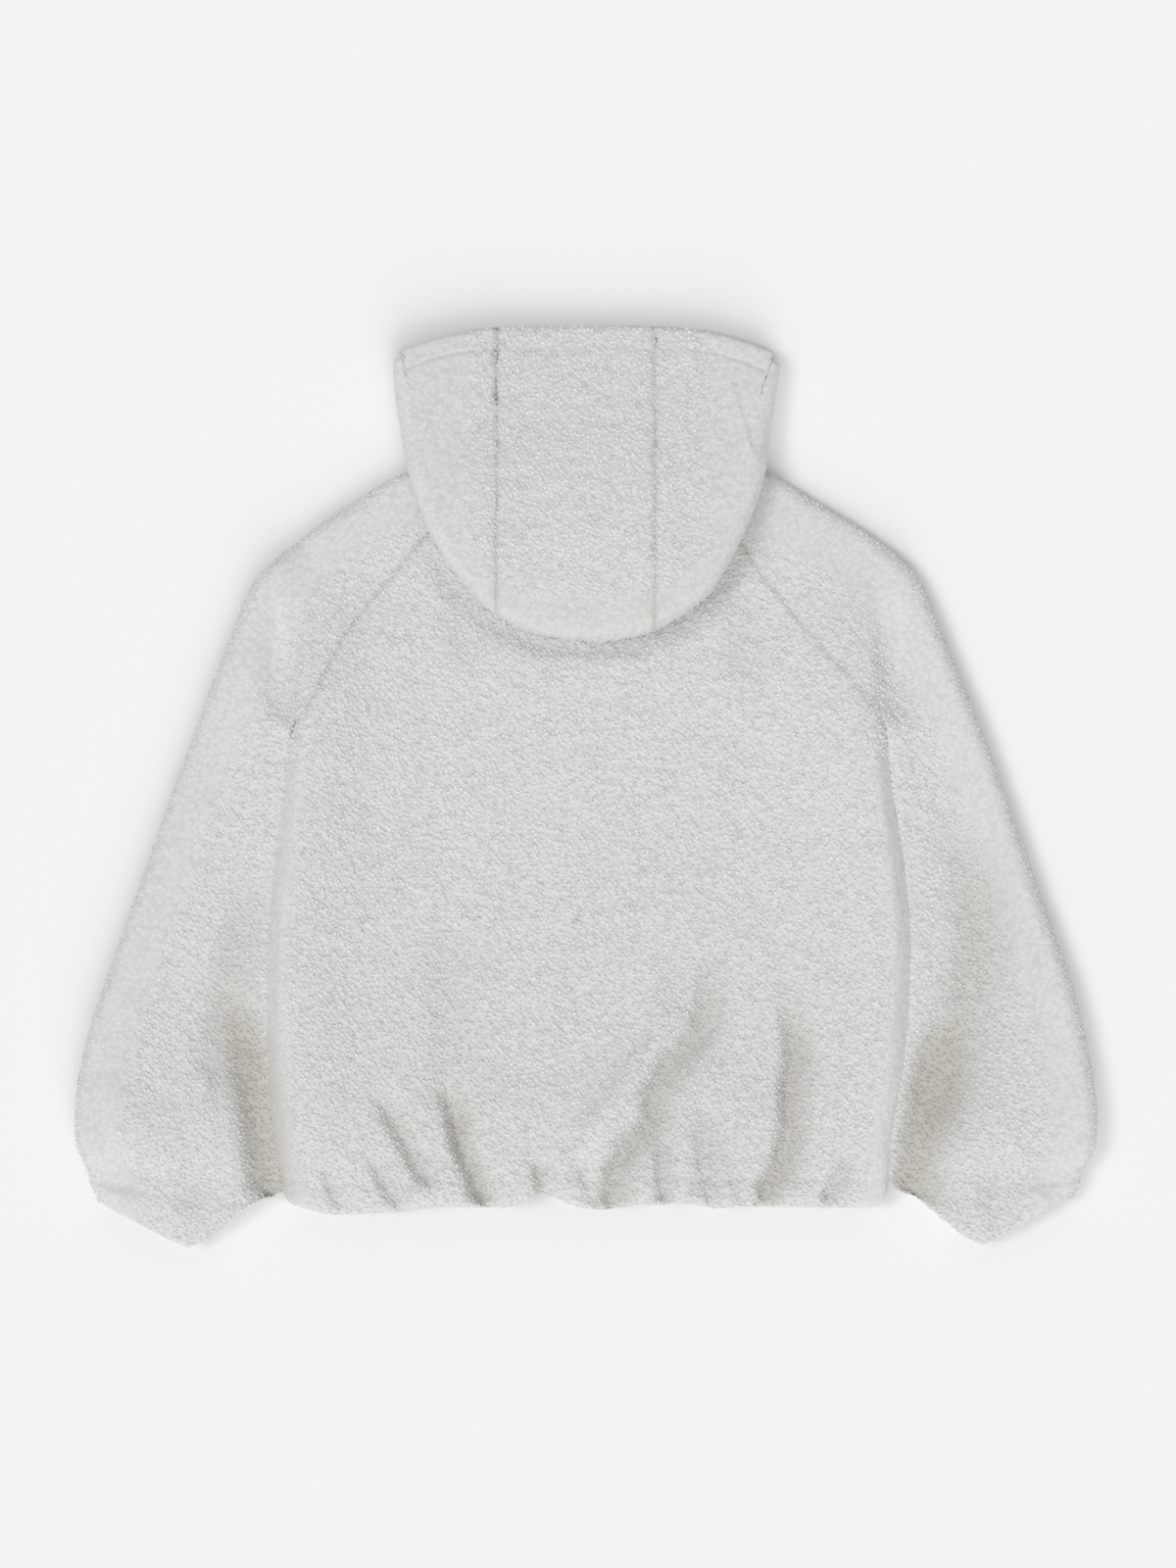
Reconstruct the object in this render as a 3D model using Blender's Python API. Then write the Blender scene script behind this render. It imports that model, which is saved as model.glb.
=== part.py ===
"""Sherpa jacket laid flat: back up, fronts on the floor, hood down over the back.

Every cloth piece is a loft of its own outer and inner points: one row for each
section, one column for each place across the piece. Lengths below are in
millimetres, X to the right, Y from hem to hood, Z up from the floor. In the
tables an across value is the distance from the centre line, on either side.
"""

import math

import bmesh
import bpy
import numpy as np

# ------------------------------------------------------------------ driving sizes
MM = 0.001
WALL = 6.0              # knitted ground and its pile together
SEAM = 0.18             # each piece ends this far from the seam line
SIDE_CLEARANCE = 0.9   # body side to sleeve
SIDE_SEAM_Z = 14.0      # height of the side seams and underarm seams
BODY_ROLL = 18.0        # reach of the body's rolled edge, above the side seam
LOWER_ROLL = 14.0       # and below it
SLEEVE_ROLL = 13.0      # reach of a sleeve's rolled edges
RIDGE_INSET = 20.0      # crest of the rolled edge, in from the body's edge
LEAST_TOP = 14.2        # lowest that the upper cloth sinks towards the lower
FRONT_EDGE = 5.0        # half the slot between the fronts
HEM_Y = -369.0
HEM_FADE = 150.0        # rows further from the hem than this are straight
CASING = 24.0           # depth of the elastic casing at hem and cuffs
CASING_DIP = 2.6        # how far the casing's stitching pulls the cloth in
EDGE_ROUND = 6.0        # length over which a free edge rounds off
EDGE_DROP = 2.8
SEAM_BLEND = 8.0        # length over which a sleeve takes up the seam's height
SEAM_TURN_BLEND = 22.0  # and its turn on edge near the underarm

RAGLAN_ROWS = 7.0       # row of the sleeve tables that holds the underarm point

LEFT, RIGHT = -1, 1

# Body edge: height up the jacket, across on the left, across on the right.
BODY_EDGE = [
    (-372.0, 258.0, 252.0),
    (-358.0, 268.5, 261.0),
    (-340.0, 272.0, 264.0),
    (-304.0, 279.2, 268.0),
    (-257.0, 283.8, 276.5),
    (-200.0, 286.0, 283.0),
    (-140.0, 284.5, 285.5),
    (-67.0, 279.0, 280.0),
    (0.0, 271.5, 270.5),
    (49.0, 266.5, 266.0),
    (156.0, 264.0, 262.0),
]

# Height of the upper cloth: up the jacket, centre, crest of the rolled edge,
# depth of the crease beside the roll.
TOP_HEIGHTS = [
    (-372.0, 27.0, 27.0, 0.0),
    (-345.0, 31.0, 32.0, 2.0),
    (-300.0, 31.0, 37.0, 6.0),
    (-230.0, 26.0, 39.0, 10.0),
    (-120.0, 22.0, 39.0, 11.0),
    (0.0, 20.0, 38.0, 11.0),
    (70.0, 20.0, 36.0, 10.0),
    (130.0, 20.0, 29.0, 6.0),
    (178.0, 20.0, 22.0, 0.0),
    (215.0, 19.0, 19.0, 0.0),
    (250.0, 17.0, 17.0, 0.0),
    (284.0, 16.0, 16.0, 0.0),
]

# Hem edge: across from the left, distance above or below HEM_Y.
HEM_EDGE = [
    (-262.0, 2.0), (-223.0, -6.0), (-180.0, -4.5), (-119.0, 0.6), (-70.0, 0.4),
    (-51.0, 8.0), (-41.0, 14.0), (-29.0, 8.5), (-17.0, 2.5), (13.0, -2.0),
    (37.0, 1.6), (41.0, 4.5), (58.0, 1.5), (79.0, 4.0), (114.0, -1.0),
    (131.0, 1.6), (150.0, 0.6), (247.0, 0.0), (262.0, 6.0),
]

# Folds of the upper cloth: name, half width, depth (a ridge is negative), and
# the line of the fold from its faint end to its full end.
FOLDS = [
    ("hem 1", 8.0, 6.0, [(-192, -322), (-173, -360)]),
    ("hem 2", 10.0, 8.0, [(-188, -262), (-166, -304), (-147, -340)]),
    ("hem 3", 10.0, 15.0, [(-127, -255), (-114, -316), (-105, -335), (-97, -358)]),
    ("above hem 3", 20.0, 3.0, [(-134, -90), (-131, -180), (-127, -270)]),
    ("hem 4", 8.0, 8.0, [(-47, -322), (-41, -362)]),
    ("hem 5", 9.0, 7.0, [(-16, -318), (3, -362)]),
    ("long fold", 13.0, 15.0,
     [(109, -128), (101, -191), (92, -217), (70, -238), (56, -262), (53, -292),
      (36, -309), (22, -333), (18, -358)]),
    ("beside the long fold", 16.0, -7.0, [(66, -150), (61, -219), (21, -274), (0, -300)]),
    ("hem 6", 8.0, 8.0, [(61, -300), (64, -358)]),
    ("hem 7", 15.0, 6.0, [(100, -270), (102, -348)]),
    ("right fold", 12.0, 13.0,
     [(173, -165), (178, -235), (173, -262), (174, -298), (167, -328), (154, -350)]),
    ("hem 8", 8.0, 7.0, [(231, -318), (209, -356)]),
    ("hem 9", 7.0, 4.0, [(-232, -330), (-222, -362)]),
    ("hem 10", 7.0, 4.0, [(126, -335), (131, -362)]),
    ("under the hood left", 20.0, 2.5, [(-100, 105), (-114, 131), (-122, 150)]),
    ("under the hood right", 20.0, 3.0, [(120, 95), (137, 131), (128, 150)]),
    ("left sleeve trough", 17.0, 6.0,
     [(-292, -60), (-303, -100), (-316, -158), (-330, -205), (-345, -240)]),
    ("left sleeve pocket", 11.0, 9.0, [(-302, -292), (-285, -336)]),
    ("left cuff 1", 8.0, 6.0, [(-396, -318), (-405, -350)]),
    ("left cuff 2", 9.0, 6.0, [(-345, -330), (-352, -366)]),
    ("left sleeve ridge", 18.0, -3.0, [(-420, -250), (-408, -299), (-396, -318)]),
    ("right sleeve trough", 18.0, 6.0,
     [(318, -40), (340, -100), (350, -150), (340, -207), (310, -236)]),
    ("right sleeve pocket", 11.0, 8.0, [(300, -290), (280, -330)]),
    ("right cuff 1", 8.0, 6.0, [(392, -316), (400, -350)]),
    ("right cuff 2", 9.0, 6.0, [(342, -326), (348, -362)]),
]

# Gathers of the fronts, raised off the floor at the hem: across, half width, rise.
FRONT_GATHERS = [
    (-215.0, 16.0, 3.5), (-158.0, 14.0, 4.5), (-104.0, 13.0, 4.0), (-52.0, 12.0, 4.5),
    (47.0, 12.0, 4.0), (98.0, 14.0, 4.5), (150.0, 12.0, 3.5), (206.0, 15.0, 4.5),
]

# Sleeves, neck to cuff edge. Each row is a section, from the raglan seam (later
# the underarm seam) to the outer fold: across and height up of its inner end,
# across and height up of its outer end, inner, middle and outer cloth height.
SLEEVE_SECTIONS = {
    LEFT: [
        (98.0, 262.0, 112.0, 283.0, 16.0, 16.0, 16.0),
        (121.0, 240.0, 160.0, 276.0, 18.0, 18.0, 18.0),
        (144.5, 218.0, 203.0, 252.5, 19.0, 20.0, 22.0),
        (174.0, 182.5, 252.5, 218.0, 22.0, 22.0, 25.0),
        (210.0, 137.5, 294.0, 180.0, 26.0, 24.0, 27.0),
        (231.5, 96.5, 316.5, 127.0, 27.0, 24.0, 29.0),
        (248.5, 64.5, 331.5, 89.5, 28.0, 23.0, 30.0),
        (266.5, 45.0, 345.5, 50.0, 28.0, 22.0, 30.0),
        (270.0, 10.0, 360.5, 10.5, 27.0, 21.0, 30.0),
        (276.0, -40.0, 378.5, -41.0, 26.0, 20.0, 31.0),
        (282.0, -100.0, 399.0, -99.0, 26.0, 20.0, 32.0),
        (286.0, -160.0, 420.5, -160.0, 27.0, 22.0, 33.0),
        (286.0, -215.0, 438.5, -213.0, 28.0, 25.0, 34.0),
        (284.0, -262.0, 448.5, -260.0, 30.0, 30.0, 35.0),
        (281.0, -296.0, 451.0, -293.0, 31.0, 34.0, 35.0),
        (277.0, -326.0, 449.5, -317.0, 30.0, 34.0, 33.0),
        (274.5, -348.0, 440.5, -337.5, 27.0, 29.0, 27.0),
        (297.0, -367.0, 438.0, -350.0, 27.0, 28.0, 26.0),
        (325.0, -388.0, 431.5, -365.0, 24.0, 24.0, 23.0),
    ],
    RIGHT: [
        (98.0, 262.0, 112.0, 283.0, 16.0, 16.0, 16.0),
        (121.0, 233.0, 158.0, 274.5, 18.0, 18.0, 18.0),
        (145.0, 194.5, 201.0, 249.5, 20.0, 20.0, 22.0),
        (172.0, 160.0, 252.5, 217.0, 22.0, 22.0, 25.0),
        (207.5, 117.0, 288.0, 184.0, 26.0, 24.0, 27.0),
        (230.0, 92.0, 311.0, 132.0, 27.0, 24.0, 29.0),
        (248.0, 68.0, 329.0, 89.0, 28.0, 23.0, 30.0),
        (266.0, 45.0, 345.0, 50.0, 28.0, 22.0, 30.0),
        (269.0, 10.0, 359.5, 11.0, 27.0, 21.0, 30.0),
        (276.0, -40.0, 377.5, -41.0, 26.0, 20.0, 31.0),
        (284.0, -100.0, 398.0, -100.0, 26.0, 20.0, 32.0),
        (286.0, -160.0, 419.5, -160.0, 27.0, 22.0, 33.0),
        (283.0, -215.0, 434.5, -214.0, 28.0, 25.0, 34.0),
        (277.0, -262.0, 443.5, -262.0, 30.0, 30.0, 35.0),
        (271.0, -296.0, 446.0, -292.0, 31.0, 34.0, 35.0),
        (267.0, -322.0, 444.0, -319.0, 30.0, 34.0, 33.0),
        (266.0, -341.0, 435.0, -337.0, 27.0, 29.0, 27.0),
        (288.0, -361.0, 432.0, -348.0, 27.0, 28.0, 26.0),
        (318.0, -386.0, 426.0, -361.0, 24.0, 24.0, 23.0),
    ],
}
CUFF_BOW = 19.0         # how far the cuff's edge bows down at its corner
CUFF_BOW_AT = 0.24      # and where, along the edge from the inner end

# From the back's raglan seam to the front's, which lies lower at the neck.
FRONT_RAGLAN_IN = 6.0
FRONT_RAGLAN_DOWN = 17.0
FRONT_NECK_Y = 205.0
BACK_NECK_DIP = 10.0

# Hood, from centre front round to the seam of its centre panel. Each row is a
# line down the cloth: start at the neck, turn at the fold, end at the opening
# edge, each across and height up; then 0 where the cloth lies flat, 1 folded.
HOOD_LINES = {
    LEFT: [
        (5.0, 205.4, 5.6, 220.0, 6.0, 222.0, 0.0),
        (45.0, 219.0, 49.0, 258.0, 50.0, 262.0, 0.0),
        (72.0, 233.5, 81.0, 285.0, 82.0, 290.0, 0.0),
        (92.5, 246.5, 110.0, 319.0, 112.0, 326.0, 0.0),
        (101.8, 265.0, 138.5, 349.0, 142.0, 357.0, 0.0),
        (108.0, 285.0, 169.5, 375.0, 166.0, 379.5, 1.0),
        (113.0, 287.5, 171.5, 347.0, 153.0, 386.0, 1.0),
        (112.5, 281.0, 166.5, 313.0, 130.0, 393.5, 1.0),
        (106.0, 272.0, 158.5, 273.0, 112.0, 397.5, 1.0),
        (98.0, 260.0, 141.0, 223.5, 98.0, 400.0, 1.0),
        (88.0, 257.0, 113.5, 179.0, 88.0, 401.3, 1.0),
        (80.5, 255.5, 80.5, 147.0, 80.5, 402.0, 1.0),
    ],
    RIGHT: [
        (5.0, 205.4, 5.6, 220.0, 6.0, 222.0, 0.0),
        (45.0, 219.0, 49.0, 258.0, 50.0, 262.0, 0.0),
        (72.0, 233.5, 81.0, 285.0, 82.0, 290.0, 0.0),
        (92.5, 246.5, 110.0, 319.0, 112.0, 326.0, 0.0),
        (101.8, 265.0, 137.0, 346.0, 140.5, 354.0, 0.0),
        (108.0, 285.0, 166.0, 371.0, 162.5, 376.0, 1.0),
        (113.0, 287.5, 165.5, 345.0, 150.0, 384.5, 1.0),
        (112.5, 281.0, 160.0, 314.0, 128.0, 392.0, 1.0),
        (106.0, 272.0, 154.0, 270.0, 108.0, 397.5, 1.0),
        (98.0, 260.0, 137.5, 222.5, 90.0, 400.0, 1.0),
        (80.0, 256.0, 106.0, 168.0, 72.0, 402.0, 1.0),
        (57.5, 253.5, 57.5, 133.5, 57.5, 402.7, 1.0),
    ],
}
# The centre panel's lines: across, start, turn and end, each as height up.
HOOD_CENTRE_LINES = [
    (-80.5, 255.5, 147.0, 402.0),
    (-45.0, 252.5, 131.8, 402.8),
    (0.0, 250.5, 126.3, 403.3),
    (30.0, 251.5, 127.8, 403.4),
    (57.5, 253.5, 133.5, 402.7),
]
# Height of the hood's upper cloth, up the jacket.
HOOD_TOP = [(126.0, 47.0), (180.0, 47.0), (250.0, 43.0), (320.0, 34.0), (372.0, 28.0), (403.0, 25.0)]
HOOD_FOLD_RISE = 25.0   # least rise from the hood's under side to its top
HOOD_ROLL = 15.0
HOOD_CLEARANCE = 1.2
HOOD_SAG = 3.0          # the middle of the hood's mouth sinks between its sides
FLAP_RUN = 0.9
# Shoulder line: across, height up; the hood steps down to the floor beyond it.
SHOULDER = [(98.0, 275.0), (112.0, 283.0), (160.0, 276.0), (203.0, 252.5), (253.0, 217.0)]
STEP_START, STEP_LENGTH = 5.0, 24.0

# Zip: all on the floor side, between the two fronts.
TAPE_OUTER, TAPE_INNER, TAPE_GAUGE = 13.0, 3.1, 0.8
CHAIN_WIDTH, CHAIN_DEPTH, CHAIN_BASE = 5.4, 2.8, 4.9
ZIP_TOP, ZIP_FOOT = 201.0, -360.0
SLIDER_Y, SLIDER_LENGTH, SLIDER_WIDTH = 188.0, 11.0, 8.4
SLIDER_BASE, SLIDER_DEPTH = 2.9, 1.6
PIN_Z = 1.8
PULL_LENGTH, PULL_WIDTH, PULL_GAUGE = 24.0, 6.0, 1.2
PULL_HEEL = 0.6         # tab's end beyond its axis
LUG_LENGTH, LUG_GAP = 3.0, 0.3

# Sampling of the lofts.
ROLL_STEPS = 4
RUN_STEPS = {"back": 38, "sleeve top": 8, "sleeve floor": 4, "front": 10, "hood under": 5, "hood top": 7}


# ------------------------------------------------------------------ curve helpers
def rows_at(table, v):
    """Smooth curve through the rows of a table, read at the row numbers v."""
    rows = np.asarray(table, float)
    v = np.clip(np.asarray(v, float), 0.0, len(rows) - 1.0)
    k = np.minimum(v.astype(int), len(rows) - 2)
    f = (v - k)[:, None]
    before, here = rows[np.maximum(k - 1, 0)], rows[k]
    after, beyond = rows[k + 1], rows[np.minimum(k + 2, len(rows) - 1)]
    return 0.5 * (
        2 * here
        + (after - before) * f
        + (2 * before - 5 * here + 4 * after - beyond) * f**2
        + (3 * here - before - 3 * after + beyond) * f**3
    )


def column_at(table, x, column=1):
    """Monotone smooth curve through one column of a table, read at x."""
    rows = np.asarray(table, float)
    xs, ys = rows[:, 0], rows[:, column]
    width = np.diff(xs)
    slope = np.diff(ys) / width
    rising = slope[:-1] * slope[1:] > 0
    total = np.where(rising, slope[:-1] + slope[1:], 1.0)
    tangent = np.concatenate([
        slope[:1], np.where(rising, 2 * slope[:-1] * slope[1:] / total, 0.0), slope[-1:]
    ])
    x = np.clip(x, xs[0], xs[-1])
    k = np.clip(np.searchsorted(xs, x, side="right") - 1, 0, len(xs) - 2)
    t = (x - xs[k]) / width[k]
    return (
        (2 * t**3 - 3 * t**2 + 1) * ys[k]
        + (t**3 - 2 * t**2 + t) * width[k] * tangent[k]
        + (3 * t**2 - 2 * t**3) * ys[k + 1]
        + (t**3 - t**2) * width[k] * tangent[k + 1]
    )


def smoothstep(t):
    t = np.clip(t, 0.0, 1.0)
    return t * t * (3.0 - 2.0 * t)


def bump(t):
    return np.exp(-t * t)


def unit(v):
    return v / np.linalg.norm(v, axis=-1, keepdims=True)


# ------------------------------------------------------------------ upper surface
def body_edge(side, y):
    return column_at(BODY_EDGE, y, 1 if side == LEFT else 2)


def edge_of(x, y):
    """The body edge on whichever side of the centre line x lies."""
    return np.where(x < 0, body_edge(LEFT, y), body_edge(RIGHT, y))


def fold_depth(x, y):
    """Depth of all folds at a place on the upper cloth."""
    depth = np.zeros(np.broadcast(x, y).shape)
    for _name, half_width, full, line in FOLDS:
        points = np.asarray(line, float)
        lengths = np.linalg.norm(np.diff(points, axis=0), axis=1)
        starts = np.concatenate([[0.0], np.cumsum(lengths)])
        nearest = np.full(depth.shape, np.inf)
        along = np.zeros(depth.shape)
        for k, length in enumerate(lengths):
            step = (points[k + 1] - points[k]) / length
            reach = np.clip((x - points[k, 0]) * step[0] + (y - points[k, 1]) * step[1], 0, length)
            gap = np.hypot(x - points[k, 0] - reach * step[0], y - points[k, 1] - reach * step[1])
            closer = gap < nearest
            nearest = np.where(closer, gap, nearest)
            along = np.where(closer, starts[k] + reach, along)
        fade = smoothstep(0.12 + along / (0.45 * starts[-1]))
        depth = depth + full * fade * bump(nearest / half_width)
    return depth


def keep_above(z, least):
    """Smooth floor for a height."""
    soft = 2.0
    return least + soft * np.log1p(np.exp(np.clip((z - least) / soft, -30, 30)))


def crown(x, y):
    """Height of the body's upper cloth."""
    past = np.abs(x) - edge_of(x, y)
    centre = column_at(TOP_HEIGHTS, y, 1)
    crest = column_at(TOP_HEIGHTS, y, 2)
    inside = bump((past + RIDGE_INSET) / 55.0)
    outside = bump((past + RIDGE_INSET) / 15.0)
    rise = (crest - centre) * np.where(past < -RIDGE_INSET, inside, outside)
    return keep_above(centre + rise - fold_depth(x, y), LEAST_TOP)


def sleeve_crown(side, x, y, inner, middle, outer, share):
    """Height of a sleeve's upper cloth, share of the way from seam to outer fold."""
    profile = middle + (inner - middle) * bump(share / 0.3) + (outer - middle) * bump((1 - share) / 0.34)
    past = np.abs(x) - body_edge(side, y)
    beyond = smoothstep((past + RIDGE_INSET) / 26.0)
    crease = column_at(TOP_HEIGHTS, y, 3) * bump((past - 8.0) / 12.0)
    plain = (1 - beyond) * crown(x, y) + beyond * (profile - fold_depth(x, y)) - crease
    return keep_above(plain, LEAST_TOP), keep_above(profile - fold_depth(x, y), LEAST_TOP)


def into_roll(across, edge, reach):
    """How far a place lies out on the body's rolled edge: 0 where it starts, 1 at the side."""
    return np.clip((across - (edge - reach)) / reach, 0.0, 1.0)


def rolled(across, edge, reach, top):
    """Height on the body's rolled edge, between the side seam and the flat cloth at top."""
    return SIDE_SEAM_Z + (top - SIDE_SEAM_Z) * np.sqrt(1.0 - into_roll(across, edge, reach) ** 2)


def casing_dip(from_edge):
    return CASING_DIP * bump((from_edge - CASING) / 4.0)


def edge_drop(from_edge):
    """How far a free edge's outer points round down, and its inner points up."""
    t = np.clip(1.0 - from_edge / EDGE_ROUND, 0.0, 1.0)
    return EDGE_DROP * (1.0 - np.sqrt(1.0 - t * t))


# ------------------------------------------------------------------ raglan seams
def seam_turn(v):
    """How far a raglan seam has turned on edge: 0 lying flat, 1 at the underarm point."""
    return smoothstep((v - 6.2) / 0.8)


def raglan_seam(side, v, on_back):
    """Outer and inner points of a raglan seam at the sleeve rows v, up to the underarm."""
    across, up = rows_at(SLEEVE_SECTIONS[side], v)[:, :2].T
    neck_share = (1.0 - v / RAGLAN_ROWS) ** 2
    if not on_back:
        across = across - FRONT_RAGLAN_IN * neck_share
        up = up - FRONT_RAGLAN_DOWN * neck_share
    edge = body_edge(side, up)
    across = np.minimum(across, edge)
    x = side * across
    z = rolled(across, edge, BODY_ROLL, crown(x, up)) if on_back else rolled(across, edge, LOWER_ROLL, 0.0)
    outer = np.stack([x, up, z], axis=1)
    turn = seam_turn(v)[:, None] * math.pi / 2
    straight = np.array([0.0, 0.0, -1.0 if on_back else 1.0])
    inward = np.cos(turn) * straight + np.sin(turn) * np.array([0.0, 1.0, 0.0])
    return outer, outer + WALL * inward


def set_back(points, side, towards_body):
    """Move a seam's points off the seam line, in plan, to the body's side or the sleeve's."""
    run = np.gradient(points[:, :2], axis=0)
    normal = unit(np.stack([-run[:, 1], run[:, 0]], axis=1))
    to_body = np.sign(-side * normal[:, :1])
    to_body[to_body == 0] = 1.0
    moved = points.copy()
    moved[:, :2] += SEAM * normal * to_body * (1.0 if towards_body else -1.0)
    return moved


def roll_angles(steps):
    return np.linspace(0.0, math.pi / 2, steps + 1)


# ------------------------------------------------------------------ pieces
def sleeve_points(side, v, inset):
    """Points of a sleeve: one row for each section, from seam over the top and back under."""
    table = rows_at(SLEEVE_SECTIONS[side], v)
    across_in, up_in, across_out, up_out, inner, middle, outer = table.T[:, :, None]
    v = np.asarray(v, float)[:, None]
    below = v >= RAGLAN_ROWS
    tube = below.astype(float)
    across_in = np.where(below, np.maximum(across_in, body_edge(side, up_in) + SIDE_CLEARANCE), across_in)
    neck_share = np.clip(1.0 - v / RAGLAN_ROWS, 0.0, 1.0) ** 2
    outer_end = np.stack([side * across_out, up_out], axis=-1)
    top_end = np.stack([side * across_in, up_in], axis=-1)
    floor_end = top_end + np.stack(
        [-side * FRONT_RAGLAN_IN * neck_share, -FRONT_RAGLAN_DOWN * neck_share], axis=-1)
    last = len(SLEEVE_SECTIONS[side]) - 1.0
    cuff_share = smoothstep((v - (last - 2.2)) / 2.2)
    edge_near = (last - v) * 18.0
    roll = np.minimum(SLEEVE_ROLL, 0.42 * np.linalg.norm(outer_end - top_end, axis=-1))
    rolls = roll_angles(ROLL_STEPS)

    def across_section(end, place):
        length = np.linalg.norm(outer_end - end, axis=-1)
        share = place / length
        plan = end + (outer_end - end) * share[..., None]
        bow = CUFF_BOW * cuff_share * np.sin(math.pi * np.clip(share, 0, 1) ** 0.6)
        away = np.where(share < CUFF_BOW_AT, share / CUFF_BOW_AT, (1 - share) / (1 - CUFF_BOW_AT))
        bow = bow * 0.45 + 0.75 * CUFF_BOW * cuff_share * np.clip(away, 0, 1) ** 1.3
        return plan[..., 0], plan[..., 1] - bow, share

    def upper(place):
        x, y, share = across_section(top_end, place)
        open_top, tube_top = sleeve_crown(side, x, y, inner, middle, outer, share)
        z = open_top + (tube_top - open_top) * tube
        z = z - casing_dip(edge_near) * smoothstep((v - 12) / 3)
        return x, y, z

    run = np.linspace(0.0, 1.0, RUN_STEPS["sleeve top"] + 1)[1:][None, :]
    floor_run = np.linspace(0.0, 1.0, RUN_STEPS["sleeve floor"] + 1)[1:-1][None, :]
    length = np.linalg.norm(outer_end - top_end, axis=-1)
    low_length = np.linalg.norm(outer_end - floor_end, axis=-1)
    seam_z = np.minimum(SIDE_SEAM_Z, 0.5 * inner)
    inner_in = inset * tube
    drop = edge_drop(edge_near)

    start = inner_in + (roll - inner_in) * (1 - np.cos(rolls))[None, :]
    x, y, top = upper(start)
    first_top = top - inset - drop * (1 if inset == 0 else -0.5)
    z = first_top + tube * (seam_z + (first_top - seam_z) * np.sin(rolls)[None, :] - first_top)
    turned = np.where(below, 0.0, seam_turn(v)) * bump(start / SEAM_TURN_BLEND) * math.pi / 2
    y = y + inset * np.sin(turned)
    z = z + inset * (1 - np.cos(turned))
    seam = raglan_seam(side, np.minimum(v[:, 0], RAGLAN_ROWS), True)[1 if inset else 0]
    mend = np.where(below, 0.0, seam[:, 2:] - z[:, :1])
    z = z + mend * bump(start / SEAM_BLEND)
    parts = [(x, y, z)]

    place = roll + run * (length - 2 * roll)
    x, y, top = upper(place)
    parts.append((x, y, top - inset - drop * (1 if inset == 0 else -0.5)))

    _, _, shoulder_top = upper(length - roll)
    fold_z = 0.5 * shoulder_top
    turn = rolls[1:][None, :]
    x, y, _ = across_section(top_end, length - roll + (roll - inset) * np.sin(turn))
    crest = shoulder_top - inset - drop * (1 if inset == 0 else -0.5)
    parts.append((x, y, fold_z + (crest - fold_z) * np.cos(turn)))

    turn = rolls[1:][None, :]
    x, y, _ = across_section(floor_end, low_length - roll + (roll - inset) * np.cos(turn))
    lowest = inset + drop * (1 if inset == 0 else -0.5)
    parts.append((x, y, fold_z - (fold_z - lowest) * np.sin(turn)))

    x, y, _ = across_section(floor_end, low_length - roll - floor_run * (low_length - 2 * roll))
    parts.append((x, y, lowest + 0 * x))

    back = rolls[::-1][None, :]
    start = inner_in + (roll - inner_in) * (1 - np.cos(back))
    x, y, _ = across_section(floor_end, start)
    z = lowest + tube * ((seam_z - lowest) * (1 - np.sin(back)))
    seam = raglan_seam(side, np.minimum(v[:, 0], RAGLAN_ROWS), False)[1 if inset else 0]
    mend = np.where(below, 0.0, seam[:, 2:] - z[:, -1:])
    z = z + mend * bump(start / SEAM_BLEND)
    parts.append((x, y, z))
    return np.stack([np.concatenate([p[k] for p in parts], axis=1) for k in range(3)], axis=-1)


def sleeve(side):
    """Outer and inner points of one raglan sleeve, its two seam edges on the shared seams."""
    v = np.concatenate([np.arange(0, 6.1, 1.0), [6.35, 6.7, 7.0, 7.35], np.arange(8, 15.1, 1.0),
                        [15.6, 16.0, 16.45, 17.0, 17.6, 17.9, 18.0]])
    outer, inner = sleeve_points(side, v, 0.0), sleeve_points(side, v, WALL)
    joined = v <= RAGLAN_ROWS
    for column, on_back in ((0, True), (-1, False)):
        seam_outer, seam_inner = raglan_seam(side, v[joined], on_back)
        outer[joined, column] = set_back(seam_outer, side, False)
        inner[joined, column] = set_back(seam_inner, side, False)
        apart = SEAM * (1 if on_back else -1) * seam_turn(v)
        outer[:, column, 2] += apart
        inner[:, column, 2] += apart
    return outer, inner


def hem_line(x, from_hem):
    """Height up the jacket of the row that lies from_hem above the hem's edge."""
    follow = 1.0 - smoothstep(from_hem / HEM_FADE)
    return HEM_Y + from_hem + follow * column_at(HEM_EDGE, x)


def body_rows():
    """Rows of the body: raglan rows by number, then rows by distance from the hem."""
    raglan = np.concatenate([np.arange(0, 6.1, 1.0), [6.35, 6.7, 7.0]])
    underarm = rows_at(SLEEVE_SECTIONS[LEFT], [RAGLAN_ROWS])[0, 1] - HEM_Y
    plain = np.linspace(underarm, 170.0, 7)[1:]
    gathered = np.array([150.0, 130.0, 112.0, 95.0, 79.0, 65.0, 52.0, 41.0, 31.0, CASING, 16.0, 8.0,
                         EDGE_ROUND / 2, 0.0])
    return raglan, np.concatenate([plain, gathered])


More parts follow.
